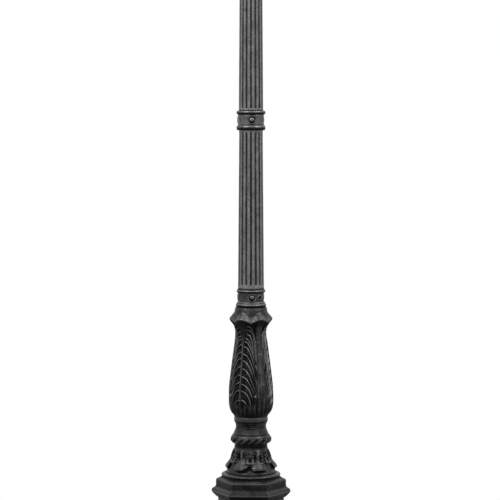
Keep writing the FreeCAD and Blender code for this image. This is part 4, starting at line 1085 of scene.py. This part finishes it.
studio = {
    "cameraDistance": 6.77,
    "cameraHeight": 1.51,
    "cameraAzimuth": 3.5,
    "cameraPitch": 3.96,
    "cameraLens": 156.0,
    "cameraAside": 0.026,            # degrees that the camera looks past the post
    "cameraSensor": 36.0,
    "cameraClip": 100.0,
    "floorSize": 60.0,
    "floorDrop": 0.0005,
    "floorShadowTo": 0.45,           # metres from the post within which the floor is shaded
    "floorWhiteFrom": 1.25,          # and beyond which it is plain white
    "worldLight": 0.05,
    "lampAim": 1.1,
    "lamps": [
        {"name": "softLeft", "turn": -40.0, "distance": 3.6, "height": 4.0, "size": 1.1, "power": 150.0},
        {"name": "softRight", "turn": 62.0, "distance": 3.6, "height": 4.0, "size": 1.1, "power": 138.0},
    ],
}


def whiteBackground():
    world = bpy.data.worlds.new("paleStudio")
    bpy.context.scene.world = world
    world.use_nodes = True
    tree = world.node_tree
    tree.nodes.clear()
    ray = tree.nodes.new("ShaderNodeLightPath")
    seen = None
    for kind in ("Is Camera Ray", "Is Glossy Ray", "Is Transmission Ray"):
        both = tree.nodes.new("ShaderNodeMath")
        both.operation = "MAXIMUM"
        tree.links.new(ray.outputs[kind], both.inputs[0])
        if seen:
            tree.links.new(seen.outputs[0], both.inputs[1])
        seen = both
    dim = tree.nodes.new("ShaderNodeBackground")
    dim.inputs["Strength"].default_value = studio["worldLight"]
    white = tree.nodes.new("ShaderNodeBackground")
    white.inputs["Strength"].default_value = 1.0
    for part in (dim, white):
        part.inputs["Color"].default_value = (1, 1, 1, 1)
    mix = tree.nodes.new("ShaderNodeMixShader")
    tree.links.new(seen.outputs[0], mix.inputs[0])
    tree.links.new(dim.outputs[0], mix.inputs[1])
    tree.links.new(white.outputs[0], mix.inputs[2])
    out = tree.nodes.new("ShaderNodeOutputWorld")
    tree.links.new(mix.outputs[0], out.inputs["Surface"])


def makeFloor():
    deselectAll()
    bpy.ops.mesh.primitive_plane_add(size=studio["floorSize"], location=(0, 0, -studio["floorDrop"]))
    floor = bpy.context.object
    floor.name = "studioFloor"
    pale = Finish("paleFloor")
    distance = pale.length(pale.place())
    glow = pale.node("ShaderNodeEmission", {}, {"Color": (1, 1, 1, 1), "Strength": 1.0})
    ray = (pale.node("ShaderNodeLightPath", output="Is Camera Ray")
           + pale.node("ShaderNodeLightPath", output="Is Glossy Ray")
           + pale.node("ShaderNodeLightPath", output="Is Transmission Ray"))
    far = pale.span(distance, studio["floorShadowTo"], studio["floorWhiteFrom"])
    pale.feed(pale.shader.inputs["Base Color"], (0.8, 0.8, 0.8, 1))
    pale.feed(pale.shader.inputs["Roughness"], 0.9)
    shaded = Wire(pale, pale.shader.outputs[0])
    mixed = pale.node("ShaderNodeMixShader", {}, {0: ray * far, 1: shaded, 2: glow})
    pale.tree.links.new(mixed.socket, pale.tree.nodes["Material Output"].inputs["Surface"])
    floor.data.materials.append(pale.material)


def roundPost(turn, distance, height):
    # a place seen from the post's axis: turn is from the front, positive to the right
    return Vector((distance * math.sin(turn), -distance * math.cos(turn), height))


def makeLamps():
    for lamp in studio["lamps"]:
        light = bpy.data.lights.new(lamp["name"], "AREA")
        light.shape = "SQUARE"
        light.size = lamp["size"]
        light.energy = lamp["power"]
        holder = bpy.data.objects.new(lamp["name"], light)
        bpy.context.scene.collection.objects.link(holder)
        holder.location = roundPost(math.radians(lamp["turn"]), lamp["distance"], lamp["height"])
        aim = Vector((0, 0, studio["lampAim"])) - holder.location
        holder.rotation_euler = aim.to_track_quat("-Z", "Y").to_euler()


def makeCamera():
    turn = math.radians(studio["cameraAzimuth"])
    camera = bpy.data.objects.new("viewer", bpy.data.cameras.new("viewer"))
    bpy.context.scene.collection.objects.link(camera)
    camera.data.lens = studio["cameraLens"]
    camera.data.sensor_width = studio["cameraSensor"]
    camera.data.clip_end = studio["cameraClip"]
    camera.location = roundPost(turn, studio["cameraDistance"], studio["cameraHeight"])
    aside = math.radians(studio["cameraAside"])
    camera.rotation_euler = (math.radians(90 - studio["cameraPitch"]), 0, turn + aside)
    bpy.context.scene.camera = camera


whiteBackground()
makeFloor()
makeLamps()
makeCamera()
bpy.context.scene.view_settings.view_transform = "Standard"
print("studio ready")
